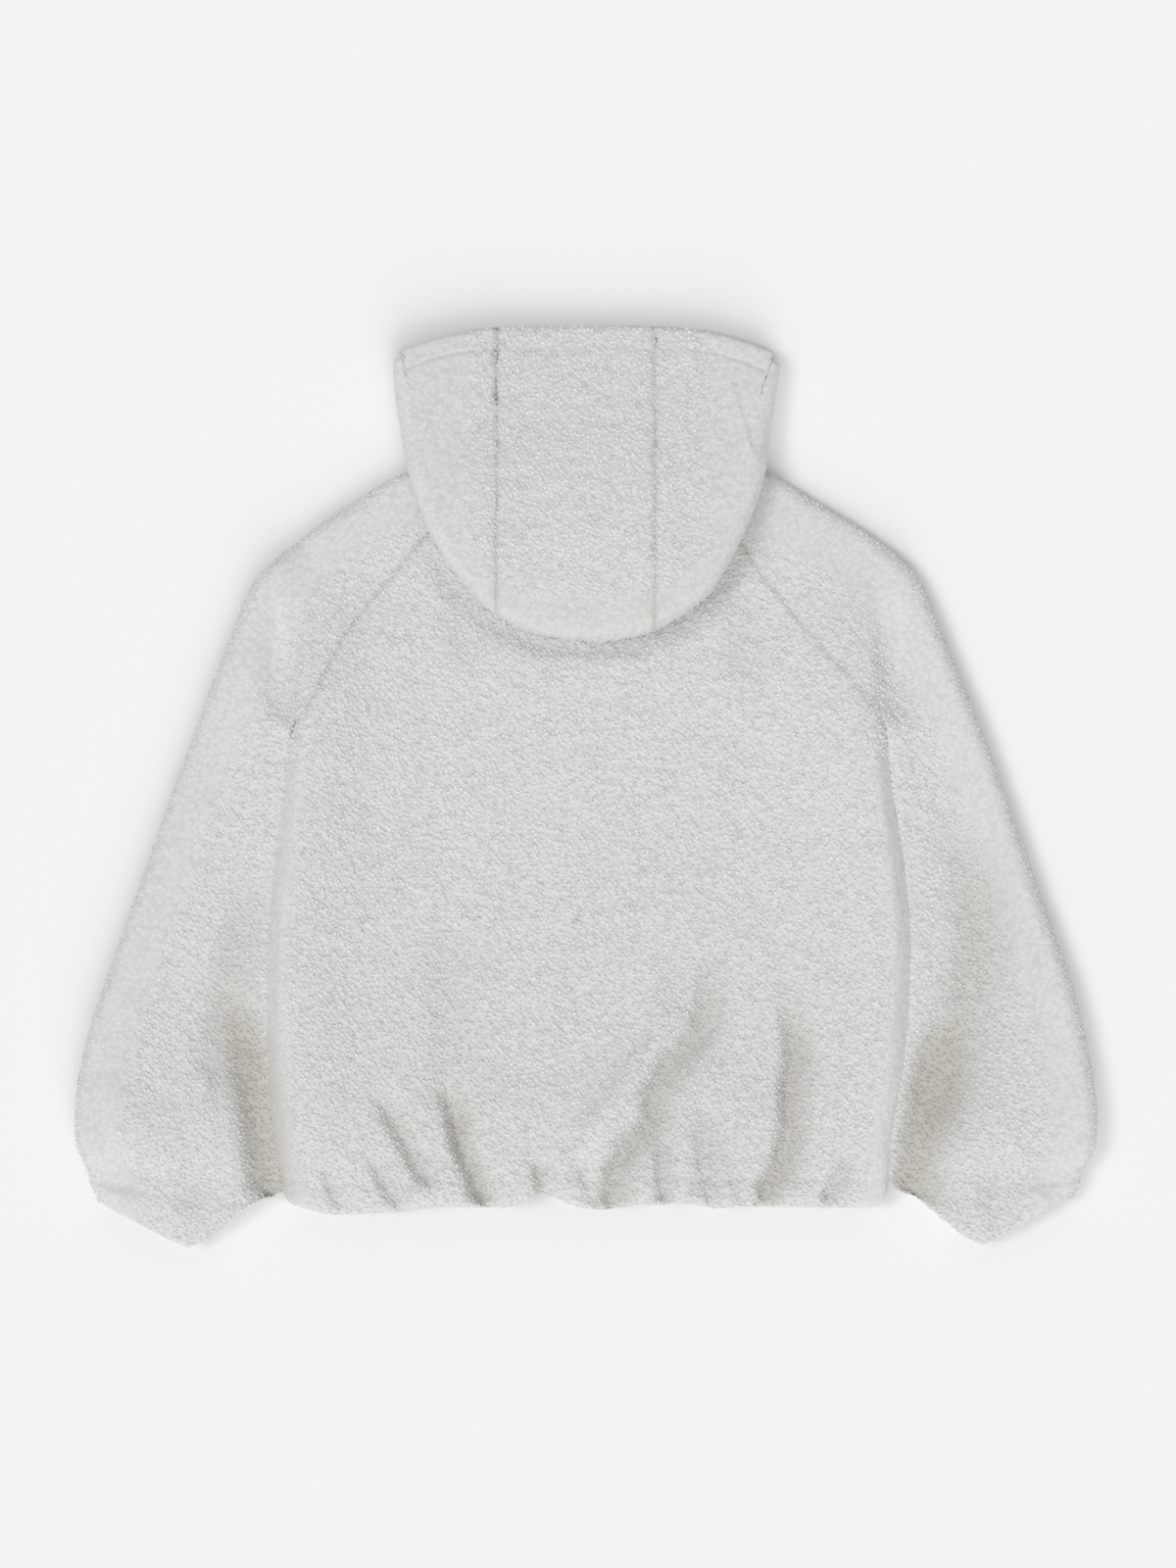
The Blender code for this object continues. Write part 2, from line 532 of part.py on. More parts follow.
def back_points(inset):
    """Points of the back: rows from neck to hem, columns from left to right."""
    raglan, lower = body_rows()
    rolls = roll_angles(ROLL_STEPS)
    run = np.linspace(0.0, 1.0, RUN_STEPS["back"] + 1)[1:-1]
    rows = []
    ends = {side: raglan_seam(side, raglan, True) for side in (LEFT, RIGHT)}
    for r in range(len(raglan) + len(lower)):
        in_raglan = r < len(raglan)
        from_hem = 1e3 if in_raglan else lower[r - len(raglan)]
        if in_raglan:
            left, right = (ends[side][0][r] for side in (LEFT, RIGHT))
        else:
            y_mid = HEM_Y + from_hem
            y_ends = [hem_line(side * body_edge(side, y_mid), from_hem) for side in (LEFT, RIGHT)]
            left, right = (
                np.array([side * body_edge(side, y), y, SIDE_SEAM_Z]) for side, y in zip((LEFT, RIGHT), y_ends))
        arc = BODY_ROLL * (1 - np.cos(rolls))
        x = np.concatenate([
            left[0] + arc,
            left[0] + BODY_ROLL + run * (right[0] - left[0] - 2 * BODY_ROLL),
            (right[0] - arc)[::-1],
        ])
        share = (x - left[0]) / (right[0] - left[0])
        y = left[1] + (right[1] - left[1]) * share
        if in_raglan:
            y = y - BACK_NECK_DIP * (1 - (2 * share - 1) ** 2) * bump(raglan[r] / 1.5)
        else:
            y = hem_line(x, from_hem)
        edge = edge_of(x, y) if in_raglan else np.where(x < 0, -left[0], right[0])
        into = into_roll(np.abs(x), edge, BODY_ROLL)
        rounding = edge_drop(from_hem) * (1 if inset == 0 else -0.5)
        top = crown(x, y) - inset - rounding - casing_dip(from_hem)
        z = SIDE_SEAM_Z + (top - SIDE_SEAM_Z) * np.sqrt(1.0 - into**2)
        rows.append(np.stack([x - np.sign(x) * inset * into, y, z], axis=1))
    return np.array(rows)


def back():
    outer, inner = back_points(0.0), back_points(WALL)
    raglan, _ = body_rows()
    count = len(raglan)
    for column, side in ((0, LEFT), (-1, RIGHT)):
        seam_outer, seam_inner = raglan_seam(side, raglan, True)
        outer[:count, column] = set_back(seam_outer, side, True)
        inner[:count, column] = set_back(seam_inner, side, True)
        share = np.concatenate([seam_turn(raglan), np.ones(len(outer) - count)])
        outer[:, column, 2] += SEAM * share
        inner[:, column, 2] += SEAM * share
    return outer, inner


def front_lift(x, from_hem):
    """Rise of the fronts' gathers off the floor."""
    rise = sum(height * bump((x - at) / half) for at, half, height in FRONT_GATHERS)
    return rise * bump(from_hem / 38.0)


def front_points(side, inset):
    """Points of one front: rows from neck to hem, columns from the zip to the side."""
    raglan, lower = body_rows()
    rolls = roll_angles(ROLL_STEPS)[::-1]
    run = np.linspace(0.0, 1.0, RUN_STEPS["front"] + 1)[:-1]
    seam, _ = raglan_seam(side, raglan, False)
    underarm_y = seam[-1, 1]
    rows = []
    for r in range(len(raglan) + len(lower)):
        in_raglan = r < len(raglan)
        from_hem = 1e3 if in_raglan else lower[r - len(raglan)]
        if in_raglan:
            end = abs(seam[r, 0])
            share = (seam[r, 1] - underarm_y) / (seam[0, 1] - underarm_y)
            centre_y = underarm_y + (FRONT_NECK_Y - underarm_y) * share
        else:
            y_mid = HEM_Y + from_hem
            end = body_edge(side, hem_line(side * body_edge(side, y_mid), from_hem))
        arc = LOWER_ROLL * (1 - np.cos(rolls))
        across = np.concatenate([FRONT_EDGE + run * (end - LOWER_ROLL - FRONT_EDGE), end - arc])
        if in_raglan:
            t = (across - FRONT_EDGE) / (end - FRONT_EDGE)
            y = centre_y + (seam[r, 1] - centre_y) * t ** (1.0 + 0.5 * share)
        else:
            y = hem_line(side * across, from_hem)
        edge = body_edge(side, y) if in_raglan else end
        into = into_roll(across, edge, LOWER_ROLL)
        rounding = edge_drop(from_hem) * (1 if inset == 0 else -0.5)
        low = inset + front_lift(side * across, from_hem) + rounding
        z = SIDE_SEAM_Z + (low - SIDE_SEAM_Z) * np.sqrt(1.0 - into**2)
        rows.append(np.stack([side * (across - inset * into), y, z], axis=1))
    return np.array(rows)


def front(side):
    outer, inner = front_points(side, 0.0), front_points(side, WALL)
    raglan, _ = body_rows()
    count = len(raglan)
    seam_outer, seam_inner = raglan_seam(side, raglan, False)
    outer[:count, -1] = set_back(seam_outer, side, True)
    inner[:count, -1] = set_back(seam_inner, side, True)
    share = np.concatenate([seam_turn(raglan), np.ones(len(outer) - count)])
    outer[:, -1, 2] -= SEAM * share
    inner[:, -1, 2] -= SEAM * share
    return outer, inner


# ------------------------------------------------------------------ hood
def hood_floor(x, y):
    """Lowest height for the hood: over the body and sleeves, then down to the floor."""
    past = y - column_at(SHOULDER, np.abs(x))
    down = smoothstep((past - STEP_START) / STEP_LENGTH)
    return (crown(x, y) + HOOD_CLEARANCE) * (1.0 - down)


def hood_top(x, y, least):
    sag = HOOD_SAG * smoothstep((y - 250.0) / 150.0) * bump(x / 90.0)
    return np.maximum(column_at(HOOD_TOP, y) - sag, least)


def hood_line(start, turn, end, folded, inset):
    """One line down the hood's cloth: under, round its fold and back over the top."""
    under = np.linspace(0.0, 1.0, RUN_STEPS["hood under"] + 1)
    over = np.linspace(0.0, 1.0, RUN_STEPS["hood top"] + 1)
    angles = np.linspace(0.0, math.pi, 2 * ROLL_STEPS + 1)[1:]
    if not folded:
        count = len(angles) + len(over) - 1
        share = np.concatenate([under * FLAP_RUN, FLAP_RUN + (1 - FLAP_RUN) * np.arange(1, count + 1) / count])
        plan = start + (end - start) * share[:, None]
        rounding = edge_drop((1 - share) * np.linalg.norm(end - start))
        z = inset + rounding * (1 if inset == 0 else -0.5)
        return np.concatenate([plan, z[:, None]], axis=1)
    outward = unit(unit(turn - start) - unit(end - turn))
    short = min(1.0, np.linalg.norm(end - turn) / 40.0)
    roll = HOOD_ROLL * (0.45 + 0.55 * short)
    pivot = turn - outward * roll
    plan = start + (pivot - start) * under[:, None]
    low = hood_floor(plan[:, 0], plan[:, 1])
    lower = np.concatenate([plan, (low + inset)[:, None]], axis=1)
    low_end = low[-1]
    high_end = hood_top(pivot[0], pivot[1], low_end + HOOD_FOLD_RISE)
    middle = 0.5 * (low_end + high_end)
    half = middle - low_end - inset
    reach = (roll - inset) * np.sin(angles)
    fold = np.concatenate(
        [pivot + outward * reach[:, None], (middle - half * np.cos(angles))[:, None]], axis=1)
    plan = pivot + (end - pivot) * over[1:, None]
    least = low_end + HOOD_FOLD_RISE * (1 - 1.2 * over[1:])
    high = hood_top(plan[:, 0], plan[:, 1], least)
    high = high + (high_end - hood_top(pivot[0], pivot[1], 0.0)) * bump(over[1:] / 0.35)
    rounding = edge_drop((1 - over[1:]) * np.linalg.norm(end - pivot))
    high = high - inset - rounding * (1 if inset == 0 else -0.5)
    upper = np.concatenate([plan, high[:, None]], axis=1)
    return np.concatenate([lower, fold, upper], axis=0)


def hood_side(side):
    """Outer and inner points of one side of the hood, a row for each line."""
    table = np.asarray(HOOD_LINES[side], float)
    folds_from = int(np.argmax(table[:, 6] > 0.5))
    v = np.concatenate([np.arange(0, folds_from, 1.0), np.arange(folds_from, len(table) - 0.9, 0.5)])
    pair = []
    for inset in (0.0, WALL):
        rows = []
        for row, number in zip(rows_at(table, v), v):
            points = row[:6].reshape(3, 2) * np.array([side, 1.0])
            rows.append(hood_line(*points, number >= folds_from, inset))
        grid = np.array(rows)
        grid[-1, :, 0] += side * SEAM
        pair.append(grid)
    return pair


def hood_centre():
    """Outer and inner points of the hood's centre panel, left to right."""
    v = np.linspace(0.0, len(HOOD_CENTRE_LINES) - 1.0, 9)
    pair = []
    for inset in (0.0, WALL):
        rows = []
        for x, start, turn, end in rows_at(HOOD_CENTRE_LINES, v):
            rows.append(hood_line(np.array([x, start]), np.array([x, turn]), np.array([x, end]), True, inset))
        grid = np.array(rows)
        grid[0, :, 0] += SEAM
        grid[-1, :, 0] -= SEAM
        pair.append(grid)
    return pair


# ------------------------------------------------------------------ Blender objects
def clear_scene():
    for thing in list(bpy.data.objects):
        bpy.data.objects.remove(thing, do_unlink=True)


def srgb(value):
    channel = value / 255.0
    return channel / 12.92 if channel <= 0.04045 else ((channel + 0.055) / 1.055) ** 2.4


def make_material(name, colour, roughness, metallic):
    material = bpy.data.materials.new(name)
    material.use_nodes = True
    shader = material.node_tree.nodes["Principled BSDF"]
    shader.inputs["Base Color"].default_value = [srgb(c) for c in colour] + [1.0]
    shader.inputs["Roughness"].default_value = roughness
    shader.inputs["Metallic"].default_value = metallic
    return material


def add_object(name, mesh, material, collection, parent=None, place=(0.0, 0.0, 0.0)):
    mesh.materials.append(material)
    thing = bpy.data.objects.new(name, mesh)
    collection.objects.link(thing)
    thing.location = place
    thing.parent = parent
    return thing


def loft(name, outer, inner, material, collection, shift):
    """Close a grid of outer points and its grid of inner points into one walled piece."""
    rows, columns = outer.shape[:2]
    mesh_data = bmesh.new()
    layers = [
        [[mesh_data.verts.new((point + shift) * MM) for point in row] for row in grid]
        for grid in (outer, inner)
    ]
    top, under = layers
    for r in range(rows - 1):
        for c in range(columns - 1):
            mesh_data.faces.new((top[r][c], top[r + 1][c], top[r + 1][c + 1], top[r][c + 1]))
            mesh_data.faces.new((under[r][c], under[r][c + 1], under[r + 1][c + 1], under[r + 1][c]))
    ring = [(0, c) for c in range(columns)] + [(r, columns - 1) for r in range(1, rows)]
    ring += [(rows - 1, c) for c in range(columns - 2, -1, -1)] + [(r, 0) for r in range(rows - 2, 0, -1)]
    for first, second in zip(ring, ring[1:] + ring[:1]):
        # Both pieces at a seam split its faces along the same diagonal, so they never cross.
        (r1, c1), (r2, c2) = sorted((first, second))
        mesh_data.faces.new((top[r1][c1], top[r2][c2], under[r2][c2]))
        mesh_data.faces.new((top[r1][c1], under[r2][c2], under[r1][c1]))
    bmesh.ops.recalc_face_normals(mesh_data, faces=mesh_data.faces)
    mesh = bpy.data.meshes.new(name)
    mesh_data.to_mesh(mesh)
    mesh_data.free()
    mesh.shade_smooth()
    mesh.set_sharp_from_angle(angle=math.radians(40))
    return add_object(name, mesh, material, collection)


def block(name, size, centre, material, collection, parent=None, bevel=0.0):
    """A bar with bevelled edges; size and centre in millimetres."""
    mesh_data = bmesh.new()
    bmesh.ops.create_cube(mesh_data, size=1.0)
    bmesh.ops.scale(mesh_data, vec=[value * MM for value in size], verts=mesh_data.verts)
    if bevel:
        bmesh.ops.bevel(mesh_data, geom=mesh_data.edges[:], offset=bevel * MM, segments=1, affect="EDGES")
    mesh = bpy.data.meshes.new(name)
    mesh_data.to_mesh(mesh)
    mesh_data.free()
    return add_object(name, mesh, material, collection, parent, [value * MM for value in centre])


def build_zip(collection, joined, shift, tape_material, metal):
    """Tapes, chain, slider and pull tab; joined holds the shapes that the slider takes in."""
    length, middle = ZIP_TOP - ZIP_FOOT, 0.5 * (ZIP_TOP + ZIP_FOOT)
    tape_z = WALL + 0.3 + 0.5 * TAPE_GAUGE
    for side, name in ((LEFT, "zip_tape_left"), (RIGHT, "zip_tape_right")):
        width = TAPE_OUTER - TAPE_INNER
        centre = np.array([side * 0.5 * (TAPE_OUTER + TAPE_INNER), middle, tape_z]) + shift
        block(name, (width, length, TAPE_GAUGE), centre, tape_material, collection)
    chain_length = length - 2.0
    centre = np.array([0.0, middle, CHAIN_BASE + 0.5 * CHAIN_DEPTH]) + shift
    block("zip_chain", (CHAIN_WIDTH, chain_length, CHAIN_DEPTH), centre, metal, collection, bevel=0.5)

    slider = block("zip_slider", (SLIDER_WIDTH, SLIDER_LENGTH, SLIDER_DEPTH),
                   np.array([0.0, SLIDER_Y, SLIDER_BASE + 0.5 * SLIDER_DEPTH]) + shift, metal, collection)
    lug_inner = 0.5 * PULL_WIDTH + LUG_GAP
    lug_low, lug_high = PIN_Z - 0.5 * PULL_GAUGE - 0.3, SLIDER_BASE + 0.5 * SLIDER_DEPTH
    for side, name in ((LEFT, "lug_left"), (RIGHT, "lug_right")):
        size = (0.5 * SLIDER_WIDTH - lug_inner, LUG_LENGTH, lug_high - lug_low)
        centre = np.array([side * 0.5 * (0.5 * SLIDER_WIDTH + lug_inner), SLIDER_Y, 0.5 * (lug_high + lug_low)])
        lug = block(name, size, centre + shift, metal, joined)
        lug.hide_render = True
        lug.display_type = "WIRE"
        union = slider.modifiers.new(name, "BOOLEAN")
        union.operation = "UNION"
        union.object = lug

    hinge = bpy.data.objects.new("zip_pull_axis", None)
    hinge.location = (np.array([0.0, SLIDER_Y, PIN_Z]) + shift) * MM
    collection.objects.link(hinge)
    block("zip_pull", (PULL_WIDTH, PULL_LENGTH, PULL_GAUGE),
          (0.0, PULL_HEEL - 0.5 * PULL_LENGTH, 0.0), metal, collection, hinge, bevel=0.3)


def main():
    clear_scene()
    collection = bpy.data.collections.new("sherpa_jacket")
    joined = bpy.data.collections.new("joined_shapes")
    for group in (collection, joined):
        bpy.context.scene.collection.children.link(group)
    pile = make_material("cream sherpa pile", (228, 228, 226), 0.95, 0.0)
    tape = make_material("cream zip tape", (222, 221, 216), 0.8, 0.0)
    metal = make_material("cream zip metal", (205, 204, 200), 0.4, 0.6)
    pieces = {
        "back": back(),
        "front_left": front(LEFT),
        "front_right": front(RIGHT),
        "sleeve_left": sleeve(LEFT),
        "sleeve_right": sleeve(RIGHT),
        "hood_centre": hood_centre(),
        "hood_left": hood_side(LEFT),
        "hood_right": hood_side(RIGHT),
    }
    points = np.concatenate([grid.reshape(-1, 3) for pair in pieces.values() for grid in pair])
    low, high = points.min(axis=0), points.max(axis=0)
    shift = np.array([-0.5 * (low[0] + high[0]), -0.5 * (low[1] + high[1]), -low[2]])
    for name, (outer, inner) in pieces.items():
        loft(name, outer, inner, pile, collection, shift)
    build_zip(collection, joined, shift, tape, metal)
    bpy.context.view_layer.update()


main()
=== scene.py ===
"""Looks of a hooded sherpa jacket that lies flat, back up, with its hood over the back.

Lengths inside the classes are millimetres in the jacket's own drawing: X to the
right, Y from hem to hood, Z up from the floor. Drawing.place turns them to the
frame's metres. In the tables an across value is the distance from the centre line.
"""
import logging
import math
from dataclasses import dataclass
from enum import Enum
from itertools import product
from typing import Any, Callable, Iterable, Sequence

import bmesh
import bpy
import numpy as np
from mathutils import Euler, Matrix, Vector
from mathutils.kdtree import KDTree


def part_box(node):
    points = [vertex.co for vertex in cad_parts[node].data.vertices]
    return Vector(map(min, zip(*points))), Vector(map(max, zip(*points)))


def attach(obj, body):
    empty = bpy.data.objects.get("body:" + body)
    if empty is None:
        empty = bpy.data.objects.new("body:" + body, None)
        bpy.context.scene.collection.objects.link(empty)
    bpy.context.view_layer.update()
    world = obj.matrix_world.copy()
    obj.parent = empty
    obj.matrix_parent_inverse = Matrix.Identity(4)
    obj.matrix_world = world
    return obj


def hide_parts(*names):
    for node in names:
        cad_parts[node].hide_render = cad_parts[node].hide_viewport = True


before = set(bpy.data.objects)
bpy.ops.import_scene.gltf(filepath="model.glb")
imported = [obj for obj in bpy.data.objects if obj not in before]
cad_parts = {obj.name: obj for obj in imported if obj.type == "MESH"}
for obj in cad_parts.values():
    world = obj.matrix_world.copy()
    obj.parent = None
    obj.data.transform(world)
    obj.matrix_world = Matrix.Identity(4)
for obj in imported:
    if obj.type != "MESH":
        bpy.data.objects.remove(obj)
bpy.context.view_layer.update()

Array = np.ndarray
LOG = logging.getLogger("sherpa_jacket")
MM = 0.001


class Side(Enum):
    """The viewer's left or right of the jacket's centre line."""

    LEFT = -1
    RIGHT = 1

    @property
    def word(self) -> str:
        """The side's name as the nodes spell it."""
        return self.name.lower()


class Face(Enum):
    """Which skin of the cloth a grid of points describes."""

    OUTER = 0
    INNER = 1


# Body edge: height up the jacket, across on the left, across on the right.
BODY_EDGE = (
    (-372.0, 258.0, 252.0), (-358.0, 268.5, 261.0), (-340.0, 272.0, 264.0),
    (-304.0, 279.2, 268.0), (-257.0, 283.8, 276.5), (-200.0, 286.0, 283.0),
    (-140.0, 284.5, 285.5), (-67.0, 279.0, 280.0), (0.0, 271.5, 270.5),
    (49.0, 266.5, 266.0), (156.0, 264.0, 262.0),
)
# Height of the upper cloth: up the jacket, centre, crest of the rolled edge,
# depth of the crease beside the roll.
TOP_HEIGHTS = (
    (-372.0, 27.0, 27.0, 0.0), (-345.0, 31.0, 32.0, 2.0), (-300.0, 31.0, 37.0, 6.0),
    (-230.0, 26.0, 39.0, 10.0), (-120.0, 22.0, 39.0, 11.0), (0.0, 20.0, 38.0, 11.0),
    (70.0, 20.0, 36.0, 10.0), (130.0, 20.0, 29.0, 6.0), (178.0, 20.0, 22.0, 0.0),
    (215.0, 19.0, 19.0, 0.0), (250.0, 17.0, 17.0, 0.0), (284.0, 16.0, 16.0, 0.0),
)
# Hem edge: across from the left, distance above or below the hem's line.
HEM_EDGE = (
    (-262.0, 2.0), (-223.0, -6.0), (-180.0, -4.5), (-119.0, 0.6), (-70.0, 0.4),
    (-51.0, 8.0), (-41.0, 14.0), (-29.0, 8.5), (-17.0, 2.5), (13.0, -2.0),
    (37.0, 1.6), (41.0, 4.5), (58.0, 1.5), (79.0, 4.0), (114.0, -1.0),
    (131.0, 1.6), (150.0, 0.6), (247.0, 0.0), (262.0, 6.0),
)
# Folds of the upper cloth: name, half width, depth (a ridge is negative), and
# the line of the fold from its faint end to its full end. The bank to the right of
# a fold is gentle and the one to its left is steep.
FOLDS = (
    ("hem 1", 8.0, 6.0, ((-192, -322), (-173, -360))),
    ("hem 2", 10.0, 8.0, ((-188, -262), (-166, -304), (-147, -340))),
    ("hem 3", 10.0, 13.0, ((-127, -255), (-114, -316), (-105, -335), (-97, -358))),
    ("above hem 3", 20.0, 3.0, ((-134, -90), (-131, -180), (-127, -270))),
    ("hem 4", 8.0, 8.0, ((-47, -322), (-41, -362))),
    ("hem 5", 9.0, 3.5, ((-16, -318), (3, -362))),
    ("long fold", 13.0, 12.5,
     ((109, -128), (101, -191), (92, -217), (70, -238), (56, -262), (53, -292),
      (36, -309), (22, -333), (18, -358))),
    ("beside the long fold", 16.0, -7.0, ((66, -150), (61, -219), (21, -274), (0, -300))),
    ("hem 6", 8.0, 8.0, ((61, -300), (64, -358))),
    ("hem 7", 15.0, 6.0, ((100, -270), (102, -348))),
    ("right fold", 12.0, 13.0,
     ((173, -165), (178, -235), (173, -262), (174, -298), (167, -328), (154, -350))),
    ("hem 8", 8.0, 7.0, ((231, -318), (209, -356))),
    ("hem 9", 7.0, 4.0, ((-232, -330), (-222, -362))),
    ("hem 10", 7.0, 4.0, ((126, -335), (131, -362))),
    ("under the hood left", 20.0, 2.5, ((-100, 105), (-114, 131), (-122, 150))),
    ("under the hood right", 20.0, 3.0, ((120, 95), (137, 131), (128, 150))),
    ("round the hood", 15.0, 4.5,
     ((-163, 260), (-146, 215), (-120, 172), (-85, 142), (-45, 125), (0, 119),
      (45, 124), (82, 140), (118, 168), (146, 212), (160, 255))),
    ("left sleeve trough", 20.0, 6.0,
     ((-292, -60), (-303, -100), (-316, -158), (-326, -205), (-330, -240))),
    ("left sleeve pocket", 19.0, 18.0, ((-312, -170), (-302, -240), (-293, -290), (-286, -345))),
    ("left cuff 1", 14.0, 2.5, ((-390, -300), (-405, -350))),
    ("left cuff 2", 14.0, 2.5, ((-345, -310), (-352, -366))),
    ("left sleeve ridge", 18.0, -3.0, ((-420, -250), (-408, -299), (-396, -318))),
    ("right sleeve trough", 24.0, 9.0,
     ((318, -10), (334, -80), (338, -135), (324, -205), (304, -262))),
    ("right sleeve pocket", 21.0, 16.0, ((312, -190), (298, -250), (288, -300), (280, -345))),
    ("right cuff 1", 14.0, 2.5, ((388, -300), (400, -350))),
    ("right cuff 2", 14.0, 2.5, ((342, -306), (348, -362))),
)
# Gathers of the fronts, raised off the floor at the hem: across, half width, rise.
FRONT_GATHERS = (
    (-215.0, 16.0, 3.5), (-158.0, 14.0, 4.5), (-104.0, 13.0, 4.0), (-52.0, 12.0, 4.5),
    (47.0, 12.0, 4.0), (98.0, 14.0, 4.5), (150.0, 12.0, 3.5), (206.0, 15.0, 4.5),
)
# Sleeves, neck to cuff edge. Each row is a section, from the raglan seam (later
# the underarm seam) to the outer fold: across and height up of its inner end,
# across and height up of its outer end, inner, middle and outer cloth height.
SLEEVE_SECTIONS = {
    Side.LEFT: (
        (98.0, 262.0, 112.0, 283.0, 16.0, 16.0, 16.0),
        (121.0, 240.0, 160.0, 276.0, 18.0, 18.0, 18.0),
        (144.5, 218.0, 203.0, 252.5, 19.0, 20.0, 22.0),
        (174.0, 182.5, 252.5, 218.0, 22.0, 22.0, 25.0),
        (210.0, 137.5, 294.0, 180.0, 26.0, 24.0, 27.0),
        (231.5, 96.5, 316.5, 127.0, 27.0, 24.0, 29.0),
        (248.5, 64.5, 331.5, 89.5, 28.0, 23.0, 30.0),
        (266.5, 45.0, 345.5, 50.0, 28.0, 22.0, 30.0),
        (270.0, 10.0, 360.5, 10.5, 27.0, 21.0, 30.0),
        (276.0, -40.0, 378.5, -41.0, 26.0, 20.0, 31.0),
        (282.0, -100.0, 399.0, -99.0, 26.0, 20.0, 32.0),
        (286.0, -160.0, 420.5, -160.0, 27.0, 22.0, 33.0),
        (286.0, -215.0, 438.5, -213.0, 28.0, 25.0, 34.0),
        (284.0, -262.0, 448.5, -260.0, 30.0, 30.0, 35.0),
        (281.0, -296.0, 451.0, -293.0, 31.0, 34.0, 35.0),
        (277.0, -326.0, 449.5, -317.0, 30.0, 34.0, 33.0),
        (274.5, -348.0, 440.5, -337.5, 27.0, 29.0, 27.0),
        (297.0, -367.0, 438.0, -350.0, 27.0, 28.0, 26.0),
        (325.0, -388.0, 431.5, -365.0, 24.0, 24.0, 23.0),
    ),
    Side.RIGHT: (
        (98.0, 262.0, 112.0, 283.0, 16.0, 16.0, 16.0),
        (121.0, 233.0, 158.0, 274.5, 18.0, 18.0, 18.0),
        (145.0, 194.5, 201.0, 249.5, 20.0, 20.0, 22.0),
        (172.0, 160.0, 252.5, 217.0, 22.0, 22.0, 25.0),
        (207.5, 117.0, 288.0, 184.0, 26.0, 24.0, 27.0),
        (230.0, 92.0, 311.0, 132.0, 27.0, 24.0, 29.0),
        (248.0, 68.0, 329.0, 89.0, 28.0, 23.0, 30.0),
        (266.0, 45.0, 345.0, 50.0, 28.0, 22.0, 30.0),
        (269.0, 10.0, 359.5, 11.0, 27.0, 21.0, 30.0),
        (276.0, -40.0, 377.5, -41.0, 26.0, 20.0, 31.0),
        (284.0, -100.0, 398.0, -100.0, 26.0, 20.0, 32.0),
        (286.0, -160.0, 419.5, -160.0, 27.0, 22.0, 33.0),
        (283.0, -215.0, 434.5, -214.0, 28.0, 25.0, 34.0),
        (277.0, -262.0, 443.5, -262.0, 30.0, 30.0, 35.0),
        (271.0, -296.0, 446.0, -292.0, 31.0, 34.0, 35.0),
        (267.0, -322.0, 444.0, -319.0, 30.0, 34.0, 33.0),
        (266.0, -341.0, 435.0, -337.0, 27.0, 29.0, 27.0),
        (288.0, -361.0, 432.0, -348.0, 27.0, 28.0, 26.0),
        (318.0, -386.0, 426.0, -361.0, 24.0, 24.0, 23.0),
    ),
}
# Hood, from centre front round to the seam of its centre panel. Each row is a
# line down the cloth: start at the neck, turn at the fold, end at the opening
# edge, each across and height up. The first rows lie flat, the rest are folded.
HOOD_LINES = {
    Side.LEFT: (
        (5.0, 205.4, 5.6, 220.0, 6.0, 222.0), (45.0, 219.0, 49.0, 258.0, 50.0, 262.0),
        (72.0, 233.5, 81.0, 285.0, 82.0, 290.0), (92.5, 246.5, 110.0, 319.0, 112.0, 326.0),
        (101.8, 265.0, 138.5, 349.0, 142.0, 357.0), (108.0, 285.0, 169.5, 375.0, 166.0, 379.5),
        (113.0, 287.5, 171.5, 347.0, 153.0, 386.0), (112.5, 281.0, 166.5, 313.0, 130.0, 393.5),
        (106.0, 272.0, 158.5, 273.0, 112.0, 397.5), (98.0, 260.0, 141.0, 223.5, 98.0, 400.0),
        (88.0, 257.0, 113.5, 179.0, 88.0, 401.3), (80.5, 255.5, 80.5, 147.0, 80.5, 402.0),
    ),
    Side.RIGHT: (
        (5.0, 205.4, 5.6, 220.0, 6.0, 222.0), (45.0, 219.0, 49.0, 258.0, 50.0, 262.0),
        (72.0, 233.5, 81.0, 285.0, 82.0, 290.0), (92.5, 246.5, 110.0, 319.0, 112.0, 326.0),
        (101.8, 265.0, 137.0, 346.0, 140.5, 354.0), (108.0, 285.0, 166.0, 371.0, 162.5, 376.0),
        (113.0, 287.5, 165.5, 345.0, 150.0, 384.5), (112.5, 281.0, 160.0, 314.0, 128.0, 392.0),
        (106.0, 272.0, 154.0, 270.0, 108.0, 397.5), (98.0, 260.0, 137.5, 222.5, 90.0, 400.0),
        (80.0, 256.0, 106.0, 168.0, 72.0, 402.0), (57.5, 253.5, 57.5, 133.5, 57.5, 402.7),
    ),
}
# How many of those first lines lie flat.
HOOD_FLAT_ROWS = 5
# The hood's centre panel: across, then its start, turn and end as heights up.
HOOD_CENTRE_LINES = (
    (-80.5, 255.5, 147.0, 402.0), (-45.0, 252.5, 131.8, 402.8), (0.0, 250.5, 126.3, 403.3),
    (30.0, 251.5, 127.8, 403.4), (57.5, 253.5, 133.5, 402.7),
)
# Height of the hood's upper cloth, up the jacket.
HOOD_TOP = (
    (126.0, 47.0), (180.0, 47.0), (250.0, 43.0), (320.0, 34.0), (372.0, 28.0), (403.0, 25.0),
)
# Shoulder line: across, height up; the hood steps down to the floor beyond it.
SHOULDER = ((98.0, 275.0), (112.0, 283.0), (160.0, 276.0), (203.0, 252.5), (253.0, 217.0))


